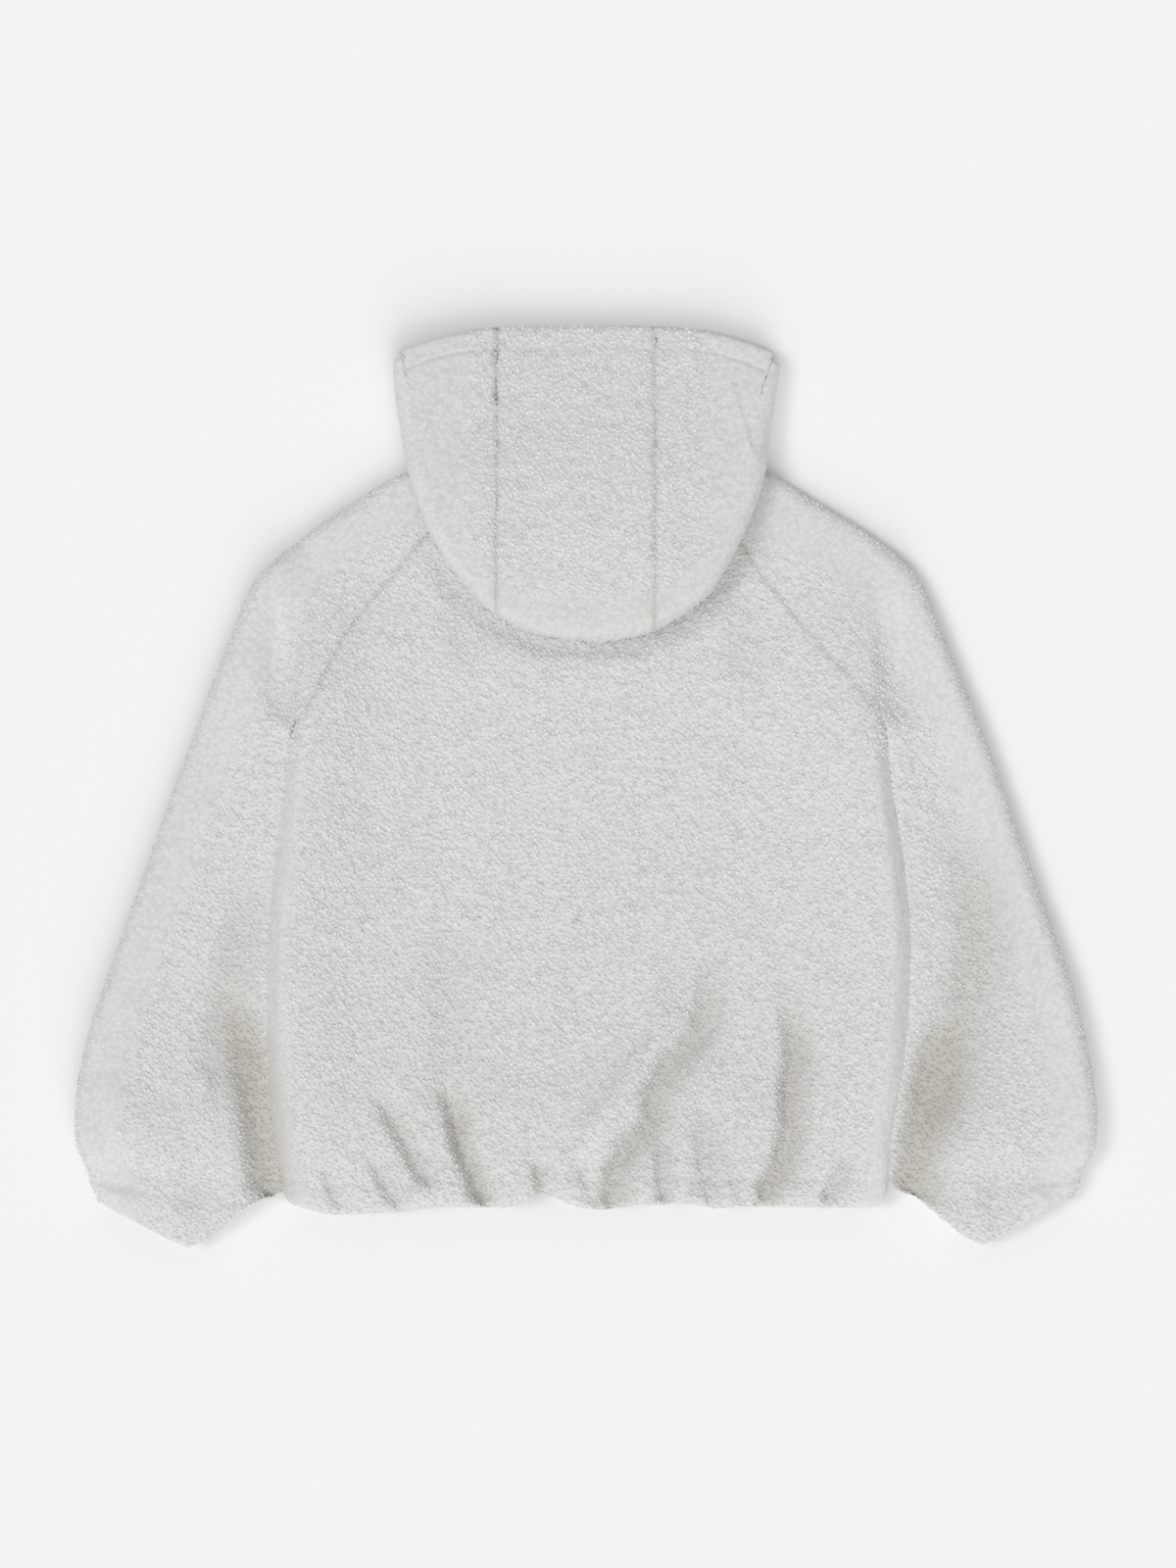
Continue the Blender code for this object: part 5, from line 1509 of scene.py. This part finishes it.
@dataclass(frozen=True)
class RowField:
    """Copies of one small shape in a straight row, such as zip teeth or stitches."""

    def tree(self) -> bpy.types.NodeTree:
        """Build the tree: a line of points, the shape on each, realized and dressed."""
        tree, given, output = new_tree("row of copies", [
            ("Count", "NodeSocketInt", 10), ("Start", "NodeSocketVector", None),
            ("Step", "NodeSocketVector", None), ("Material", "NodeSocketMaterial", None)])
        line = add_node(tree, "GeometryNodeMeshLine", {"mode": "OFFSET"}, {
            "Count": given["Count"], "Start Location": given["Start"], "Offset": given["Step"]})
        stood = add_node(tree, "GeometryNodeInstanceOnPoints", None, {
            "Points": line.outputs["Mesh"], "Instance": given["Geometry"]})
        real = add_node(tree, "GeometryNodeRealizeInstances", None, {0: stood.outputs["Instances"]})
        dressed = add_node(tree, "GeometryNodeSetMaterial", None, {
            "Geometry": real.outputs[0], "Material": given["Material"]})
        tree.links.new(dressed.outputs[0], output.inputs[0])
        return tree

    def row(self, tree: bpy.types.NodeTree, shape: bpy.types.Mesh, name: str, count: int, start: Array,
            step: Array, material: bpy.types.Material) -> bpy.types.Object:
        """Repeat a shape along a line.

        Args:
            tree: The row's node tree.
            shape: The mesh to repeat, round its own origin.
            name: The new object's name.
            count: How many copies.
            start: Place of the first copy, in metres.
            step: From one copy to the next, in metres.
            material: Their finish.

        Returns:
            The row as one plain mesh object.
        """
        mesh = evaluate_nodes(add_mesh_object(name + "_shape", shape), tree, {
            "Count": count, "Start": start.tolist(), "Step": step.tolist(), "Material": material}, name)
        return add_mesh_object(name, mesh)


# ------------------------------------------------------------------ building cloth
@dataclass
class ClothWorkshop:
    """Turns cloth pieces into closed shells with their standing pile."""

    drawing: Drawing
    relief: PileRelief
    curls: CurlField
    pile: bpy.types.Material
    inner_stride: int = 4
    # Fold depth at which the painted crease shade is full, then the weights of painted shade in seam grooves
    # and stitch lines.
    crease_shade_full_depth: float = 18.0
    seam_groove_shade: float = 0.4
    stitch_line_shade: float = 0.4
    # The cloth shell's curl_shade value, which pulls its colour towards the painted shade between curls.
    ground_shade: float = -0.15
    least_standing: float = 0.15
    top_from: float = 8.0
    top_reach: float = 6.0

    def __post_init__(self) -> None:
        """Build the curls' node tree once for all pieces."""
        self.curl_tree = self.curls.tree()

    def coarse(self, count: int) -> Array:
        """Row or column numbers that the inner face keeps, both ends among them."""
        kept = list(range(0, count - 1, self.inner_stride))
        return np.array(kept + [count - 1])

    def rim(self, rows: int, columns: int, kept_rows: Array,
            kept_columns: Array) -> list[tuple[int, int, int]]:
        """Join the outer face's border to the inner face's coarser one.

        Args:
            rows: Rows of the outer grid.
            columns: Columns of the outer grid.
            kept_rows: Rows of the inner face.
            kept_columns: Columns of the inner face.

        Returns:
            Triangles of point numbers, the inner face's points after the outer's.
        """
        base = rows * columns
        last_r, last_c = len(kept_rows) - 1, len(kept_columns) - 1
        wide = len(kept_columns)
        corners = [((0, kept_columns[c]), (0, c)) for c in range(last_c + 1)]
        corners += [((kept_rows[r], columns - 1), (r, last_c)) for r in range(1, last_r + 1)]
        corners += [((rows - 1, kept_columns[c]), (last_r, c)) for c in range(last_c - 1, -1, -1)]
        corners += [((kept_rows[r], 0), (r, 0)) for r in range(last_r - 1, -1, -1)]
        triangles = []
        for ((r1, c1), (a1, b1)), ((r2, c2), (a2, b2)) in zip(corners, corners[1:]):
            length = max(abs(r2 - r1), abs(c2 - c1))
            run = [(r1 + (r2 - r1) * k // length) * columns + c1 + (c2 - c1) * k // length
                   for k in range(length + 1)]
            here, beyond = base + a1 * wide + b1, base + a2 * wide + b2
            half = length // 2
            triangles += [(run[k], run[k + 1], here) for k in range(half)]
            triangles.append((run[half], beyond, here))
            triangles += [(run[k], run[k + 1], beyond) for k in range(half, length)]
        return triangles

    def mesh_of(self, name: str, points: Array, quads: Array, triangles: Sequence[tuple[int, int, int]],
                facing: float, values: dict[str, Array]) -> bpy.types.Mesh:
        """Make a mesh from numbered faces and values at its points.

        Args:
            name: The mesh's name.
            points: Points of the drawing.
            quads: Four point numbers for each face.
            triangles: Three point numbers for each further face.
            facing: 1 if the faces are listed facing outwards, else -1.
            values: Named value at each point.

        Returns:
            The mesh, dressed in pile.
        """
        faces = quads.tolist() + [list(t) for t in triangles]
        if facing < 0:
            faces = [face[::-1] for face in faces]
        mesh = bpy.data.meshes.new(name)
        mesh.from_pydata(self.drawing.place(points).tolist(), [], faces)
        for key, numbers in values.items():
            attribute = mesh.attributes.new(key, "FLOAT", "POINT")
            attribute.data.foreach_set("value", np.ascontiguousarray(numbers, np.float32))
        mesh.shade_smooth()
        mesh.materials.append(self.pile)
        mesh.update()
        return mesh

    def grid_quads(self, rows: int, columns: int, first: int = 0) -> Array:
        """Four point numbers for each cell of a grid."""
        r, c = np.meshgrid(np.arange(rows - 1), np.arange(columns - 1), indexing="ij")
        corner = first + r * columns + c
        return np.stack([corner, corner + columns, corner + columns + 1, corner + 1], axis=-1).reshape(-1, 4)

    def build(self, piece: ClothPiece, seed: int) -> None:
        """Args:
            piece: The cloth piece.
            seed: Chooses the scatter of its curls.
        """
        skin = piece.skin()
        outer = self.relief.apply(skin, piece.form)
        rows, columns = outer.shape[:2]
        kept_rows, kept_columns = self.coarse(rows), self.coarse(columns)
        inner = skin.inner[np.ix_(kept_rows, kept_columns)]
        # Painted shade: the upper cloth's colour darkens and warms with fold depth, and along seam grooves and
        # stitch lines.
        fold = piece.form.fold_depth(outer[..., 0], outer[..., 1])
        on_top = smoothstep((outer[..., 2] - self.top_from) / self.top_reach)
        seam_shade = self.seam_groove_shade * piece.form.groove(skin.seam_distance()) / piece.form.seam_groove
        seam_shade = seam_shade + self.stitch_line_shade * skin.dip
        crease_shade = np.clip(fold / self.crease_shade_full_depth + seam_shade, 0.0, 1.0) * on_top
        standing = 1.0 - (1.0 - self.least_standing) * np.clip(skin.brushed, 0.0, 1.0)
        count = inner.shape[0] * inner.shape[1]
        values = {
            "crease_shade": np.concatenate([crease_shade.ravel(), np.zeros(count)]),
            "curl_shade": np.full(rows * columns + count, self.ground_shade)}
        inner_quads = self.grid_quads(inner.shape[0], inner.shape[1], rows * columns)[:, ::-1]
        quads = np.concatenate([self.grid_quads(rows, columns), inner_quads])
        shell = self.mesh_of(
            piece.node + "_cloth", np.concatenate([outer.reshape(-1, 3), inner.reshape(-1, 3)]), quads,
            self.rim(rows, columns, kept_rows, kept_columns), skin.facing, values)
        cloth = add_mesh_object(shell.name, shell)
        face = self.mesh_of(
            piece.node + "_face", outer.reshape(-1, 3), self.grid_quads(rows, columns), [], skin.facing,
            {"crease_shade": crease_shade.ravel(), "standing": standing.ravel()})
        pile = self.curls.stand(self.curl_tree, add_mesh_object(face.name, face), piece.node + "_pile",
                                piece.pile_pitch, self.pile, seed)
        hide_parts(piece.node)
        for thing in (cloth, pile):
            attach(thing, "jacket")
        list(piece.rests_on)
        LOG.info("%s: %d cloth faces, %d pile faces", piece.node, len(shell.polygons), len(pile.data.polygons))


# ------------------------------------------------------------------ zip
def small_solid(name: str, build: Callable[[bmesh.types.BMesh], None], bevel: float = 0.0) -> bpy.types.Mesh:
    """Make a small closed mesh.

    Args:
        name: The mesh's name.
        build: Adds the shape to an empty bmesh, in metres.
        bevel: Width of its rounded edges in millimetres, or 0.

    Returns:
        The mesh.
    """
    work = bmesh.new()
    build(work)
    if bevel:
        bmesh.ops.bevel(work, geom=work.edges[:], offset=bevel * MM, segments=2, affect="EDGES")
    mesh = bpy.data.meshes.new(name)
    work.to_mesh(mesh)
    work.free()
    mesh.shade_smooth()
    mesh.set_sharp_from_angle(angle=math.radians(50))
    return mesh


def box_into(work: bmesh.types.BMesh, size: Sequence[float],
             centre: Sequence[float] = (0.0, 0.0, 0.0)) -> None:
    """Add a box to a bmesh; size and centre in millimetres."""
    made = bmesh.ops.create_cube(work, size=1.0)["verts"]
    bmesh.ops.scale(work, vec=[v * MM for v in size], verts=made)
    bmesh.ops.translate(work, vec=[v * MM for v in centre], verts=made)


@dataclass
class ZipFastener:
    """The zip between the fronts: taped teeth, sewn tapes, slider and pull tab."""

    metal: bpy.types.Material
    tape: bpy.types.Material
    thread: bpy.types.Material
    tooth_pitch: float = 2.6
    tooth: tuple[float, float, float] = (3.0, 1.5, 2.4)
    tooth_across: float = 1.1
    first_tooth: float = 2.0
    stitch_pitch: float = 3.2
    stitch: tuple[float, float, float] = (0.5, 2.2, 0.3)
    stitch_lines: tuple[float, ...] = (5.7, 11.4)
    first_stitch: float = 4.0
    stitch_lift: float = 0.1
    plate_bottom: float = 3.0
    plate_points: int = 32
    waist: float = 0.12
    waist_at: float = 2.5
    lug_gap: float = 0.35
    lug_length: float = 2.8
    lug_overlap: float = 0.3
    pin_radius: float = 0.25
    pin_short: float = 0.6
    tab_hole: tuple[float, float] = (2.4, 6.0)
    tab_hole_inset: float = 1.2
    tab_points: int = 28

    def corners(self, node: str) -> tuple[Array, Array]:
        """A node's lowest and highest corner in metres."""
        low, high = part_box(node)
        return np.array(low), np.array(high)

    def teeth(self, rows: RowField, tree: bpy.types.NodeTree) -> bpy.types.Object:
        """Stand both rows of teeth along the chain, half a pitch apart."""
        low, high = self.corners("zip_chain")
        centre = 0.5 * (low + high)
        count = int((high[1] - low[1]) / (self.tooth_pitch * MM)) - 1
        parts = []
        for side in Side:
            shape = small_solid("tooth", lambda work: box_into(work, self.tooth), 0.35)
            start = np.array(
                [centre[0] + side.value * self.tooth_across * MM, low[1] + self.first_tooth * MM, centre[2]])
            start[1] += 0.5 * self.tooth_pitch * MM if side is Side.RIGHT else 0.0
            parts.append(rows.row(tree, shape, "zip_teeth_" + side.word, count, start,
                                  np.array([0.0, self.tooth_pitch * MM, 0.0]), self.metal))
        return join(parts, "zip_teeth")

    def stitches(self, rows: RowField, tree: bpy.types.NodeTree) -> bpy.types.Object:
        """Sew two lines of stitches down each tape, on the side that shows."""
        parts = []
        chain_low, chain_high = self.corners("zip_chain")
        middle = 0.5 * (chain_low[0] + chain_high[0])
        for side in Side:
            low, high = self.corners("zip_tape_" + side.word)
            count = int((high[1] - low[1]) / (self.stitch_pitch * MM)) - 2
            for number, across in enumerate(self.stitch_lines):
                shape = small_solid("stitch", lambda work: box_into(work, self.stitch), 0.1)
                start = np.array([middle + side.value * across * MM, low[1] + self.first_stitch * MM,
                                  high[2] + self.stitch_lift * MM])
                parts.append(rows.row(tree, shape, f"zip_stitch_{side.word}_{number}", count, start,
                                      np.array([0.0, self.stitch_pitch * MM, 0.0]), self.thread))
        return join(parts, "zip_stitches")

    def slider(self) -> bpy.types.Object:
        """Cast the slider: a waisted plate, a lug down each side and the tab's pin."""
        low, high = self.corners("zip_slider")
        pull_low, pull_high = self.corners("zip_pull")
        size = (high - low) / MM
        centre = 0.5 * (low + high) / MM
        pull_width = (pull_high[0] - pull_low[0]) / MM
        lug = 0.5 * (size[0] - pull_width) - self.lug_gap
        pin_z = 0.5 * (pull_low[2] + pull_high[2]) / MM

        def cast(work: bmesh.types.BMesh) -> None:
            outline = []
            for k in range(self.plate_points):
                angle = 2.0 * math.pi * k / self.plate_points
                x = 0.5 * size[0] * math.copysign(abs(math.cos(angle)) ** 0.45, math.cos(angle))
                y = 0.5 * size[1] * math.copysign(abs(math.sin(angle)) ** 0.7, math.sin(angle))
                outline.append((x * (1.0 - self.waist * bump((y + self.waist_at) / self.waist_at)), y))
            ring_low, ring_high = (
                [work.verts.new(((centre[0] + x) * MM, (centre[1] + y) * MM, z * MM)) for x, y in outline]
                for z in (self.plate_bottom, high[2] / MM))
            work.faces.new(ring_low[::-1])
            work.faces.new(ring_high)
            for k in range(self.plate_points):
                n = (k + 1) % self.plate_points
                work.faces.new((ring_low[k], ring_low[n], ring_high[n], ring_high[k]))

        plate = add_mesh_object("slider_plate", small_solid("slider_plate", cast, 0.25))
        parts = [plate]
        lug_top, lug_foot = self.plate_bottom + self.lug_overlap, low[2] / MM
        for side in Side:
            x = centre[0] + side.value * (0.5 * size[0] - 0.5 * lug)
            block, at = (lug, self.lug_length, lug_top - lug_foot), (x, centre[1], 0.5 * (lug_top + lug_foot))
            shape = small_solid("slider_lug", lambda work: box_into(work, block, at), 0.3)
            parts.append(add_mesh_object("slider_lug", shape))

        def turn_pin(work: bmesh.types.BMesh) -> None:
            radius = self.pin_radius * MM
            made = bmesh.ops.create_cone(work, cap_ends=True, segments=16, radius1=radius, radius2=radius,
                                         depth=(size[0] - self.pin_short) * MM)["verts"]
            across = Euler((0.0, math.pi / 2, 0.0)).to_matrix()
            bmesh.ops.rotate(work, cent=(0, 0, 0), matrix=across, verts=made)
            bmesh.ops.translate(work, vec=[centre[0] * MM, centre[1] * MM, pin_z * MM], verts=made)

        parts.append(add_mesh_object("slider_pin", small_solid("slider_pin", turn_pin)))
        for part in parts:
            part.data.materials.append(self.metal)
        return join(parts, "slider")

    def pull(self) -> bpy.types.Object:
        """Cut the pull tab: a round-ended strip with a slot near its free end."""
        low, high = self.corners("zip_pull")
        half_width, length = 0.5 * (high[0] - low[0]), high[1] - low[1]
        centre_x = 0.5 * (high[0] + low[0])
        slot_width, slot_length = (0.5 * v * MM for v in self.tab_hole)
        steps = self.tab_points

        def cut(work: bmesh.types.BMesh) -> None:
            middle_y = low[1] + 0.5 * length
            slot_y = low[1] + half_width + self.tab_hole_inset * MM + slot_length
            outer, inner = [], []
            for k in range(steps):
                angle = 2.0 * math.pi * k / steps
                c, s = math.cos(angle), math.sin(angle)
                edge_y = math.copysign(abs(s) ** 0.5, s)
                x = half_width * math.copysign(abs(c) ** (0.55 if s < 0 else 0.2), c)
                outer.append((centre_x + x, middle_y + 0.5 * length * edge_y))
                hole_y = slot_y + slot_length * math.copysign(abs(s) ** 0.8, s)
                inner.append((centre_x + slot_width * c, hole_y))
            rings = [[work.verts.new((x, y, z)) for x, y in path]
                     for path, z in ((outer, low[2]), (outer, high[2]), (inner, low[2]), (inner, high[2]))]
            for k in range(steps):
                n = (k + 1) % steps
                out_low, out_high, in_low, in_high = rings
                work.faces.new((out_low[k], out_low[n], out_high[n], out_high[k]))
                work.faces.new((in_low[n], in_low[k], in_high[k], in_high[n]))
                work.faces.new((out_high[k], out_high[n], in_high[n], in_high[k]))
                work.faces.new((out_low[n], out_low[k], in_low[k], in_low[n]))

        tab = add_mesh_object("pull_tab", small_solid("pull_tab", cut, 0.0))
        tab.data.materials.append(self.metal)
        return tab

    def build(self) -> None:
        rows = RowField()
        tree = rows.tree()
        teeth, sewn = self.teeth(rows, tree), self.stitches(rows, tree)
        slider, tab = self.slider(), self.pull()
        for piece, node, body, slot in (
                (teeth, "zip_chain", "jacket", "zip_metal"), (slider, "zip_slider", "jacket", "zip_metal"),
                (tab, "zip_pull", "zip_pull", "zip_metal"), (sewn, None, "jacket", "tape")):
            if node:
                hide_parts(node)
            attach(piece, body)
            LOG.info("%s: %d faces", piece.name, len(piece.data.polygons))
        for side in Side:
            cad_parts["zip_tape_" + side.word].material_slots[0].material = self.tape


def join(parts: Sequence[bpy.types.Object], name: str) -> bpy.types.Object:
    """Join mesh objects into one plain mesh object.

    Args:
        parts: The objects; they are removed.
        name: The new object's name.

    Returns:
        The joined object.
    """
    merged = bmesh.new()
    materials = list(dict.fromkeys(part.data.materials[0] for part in parts))
    for part in parts:
        merged.from_mesh(part.data)
    mesh = bpy.data.meshes.new(name)
    merged.to_mesh(mesh)
    merged.free()
    mesh.materials.append(materials[0])
    mesh.shade_smooth()
    mesh.set_sharp_from_angle(angle=math.radians(50))
    for part in parts:
        bpy.data.objects.remove(part, do_unlink=True)
    return add_mesh_object(name, mesh)


# ------------------------------------------------------------------ studio
@dataclass(frozen=True)
class SunLamp:
    """A broad even light, given by where it stands."""

    name: str
    azimuth: float
    elevation: float
    strength: float
    spread: float

    def build(self) -> None:
        """Hang the light; azimuth 0 stands at +X and 90 at +Y."""
        light = bpy.data.lights.new(self.name, "SUN")
        light.energy = self.strength
        light.angle = math.radians(self.spread)
        lamp = bpy.data.objects.new(self.name, light)
        bpy.context.scene.collection.objects.link(lamp)
        a, e = math.radians(self.azimuth), math.radians(self.elevation)
        towards = Vector((math.cos(e) * math.cos(a), math.cos(e) * math.sin(a), math.sin(e)))
        lamp.rotation_euler = towards.to_track_quat("Z", "Y").to_euler()


@dataclass(frozen=True)
class Studio:
    """Paper floor, soft light and a camera straight above, framed as the photograph."""

    backdrop: BackdropFinish = BackdropFinish()
    floor_size: float = 9.0
    floor_gap: float = 0.3
    ambient: float = 0.45
    lens: float = 85.0
    sensor: float = 36.0
    picture_height: float = 1376.0
    picture_centre: tuple[float, float] = (-0.86, 1.72)
    cloth_height: float = 15.0
    lamps: tuple[SunLamp, ...] = (
        SunLamp("key", 175.0, 56.0, 0.8, 22.0),
        SunLamp("above", -90.0, 70.0, 0.5, 60.0),
        SunLamp("foot", -80.0, 34.0, 1.0, 45.0),
    )

    def build(self, drawing: Drawing) -> None:
        """Set the floor, lights and camera."""
        scene = bpy.context.scene
        half = 0.5 * self.floor_size
        mesh = bpy.data.meshes.new("paper_floor")
        z = -self.floor_gap * MM
        corners = [(-half, -half, z), (half, -half, z), (half, half, z), (-half, half, z)]
        mesh.from_pydata(corners, [], [(0, 1, 2, 3)])
        mesh.materials.append(self.backdrop.material())
        add_mesh_object("paper_floor", mesh)
        world = bpy.data.worlds.new("soft studio")
        world.use_nodes = True
        background = world.node_tree.nodes["Background"]
        background.inputs["Color"].default_value = (1.0, 1.0, 1.0, 1.0)
        background.inputs["Strength"].default_value = self.ambient
        scene.world = world
        for lamp in self.lamps:
            lamp.build()
        scene.view_settings.view_transform = "Standard"
        data = bpy.data.cameras.new("above")
        data.lens = self.lens
        data.sensor_width = self.sensor
        camera = bpy.data.objects.new("above", data)
        scene.collection.objects.link(camera)
        distance = self.lens / self.sensor * self.picture_height
        x, y = self.picture_centre
        camera.location = drawing.place(np.array([x, y, distance + self.cloth_height])).tolist()
        scene.camera = camera


# ------------------------------------------------------------------ the jacket
def jacket_pieces(form: JacketForm) -> Iterable[ClothPiece]:
    """List the pieces of cloth with the sizes that they were cut to, in metres."""
    yield BackPanel(form, "back", (0.57, 0.66), 0.327, "laid", ("front_left", "front_right"))
    for side, area in ((Side.LEFT, 0.155), (Side.RIGHT, 0.150)):
        yield FrontPanel(form, "front_" + side.word, (0.28, 0.60), area, "laid", ("paper_floor",),
                         spacing=4.5, pile_pitch=4.2, side=side)
    for side, area in ((Side.LEFT, 0.178), (Side.RIGHT, 0.180)):
        yield Sleeve(form, "sleeve_" + side.word, (0.36, 0.72), area, "laid", ("paper_floor",),
                     pile_pitch=3.1, side=side)
    yield HoodCentre(form, "hood_centre", (0.14, 0.42), 0.058, "folded", ("back",))
    for side, area in ((Side.LEFT, 0.037), (Side.RIGHT, 0.044)):
        yield HoodSide(form, "hood_" + side.word, (0.25, 0.38), area, "folded", ("back",), side=side)


def main() -> None:
    """Build the studio, then the jacket's pieces in order, then the zip."""
    logging.basicConfig(level=logging.INFO, format="%(name)s: %(message)s")
    drawing = Drawing()
    Studio().build(drawing)
    workshop = ClothWorkshop(drawing, PileRelief(), CurlField(), SherpaFinish().material())
    for seed, piece in enumerate(jacket_pieces(JacketForm())):
        workshop.build(piece, seed)
    ZipFastener(EnamelFinish().material(), TapeFinish().material(), ThreadFinish().material()).build()


if __name__ == "__main__":
    main()
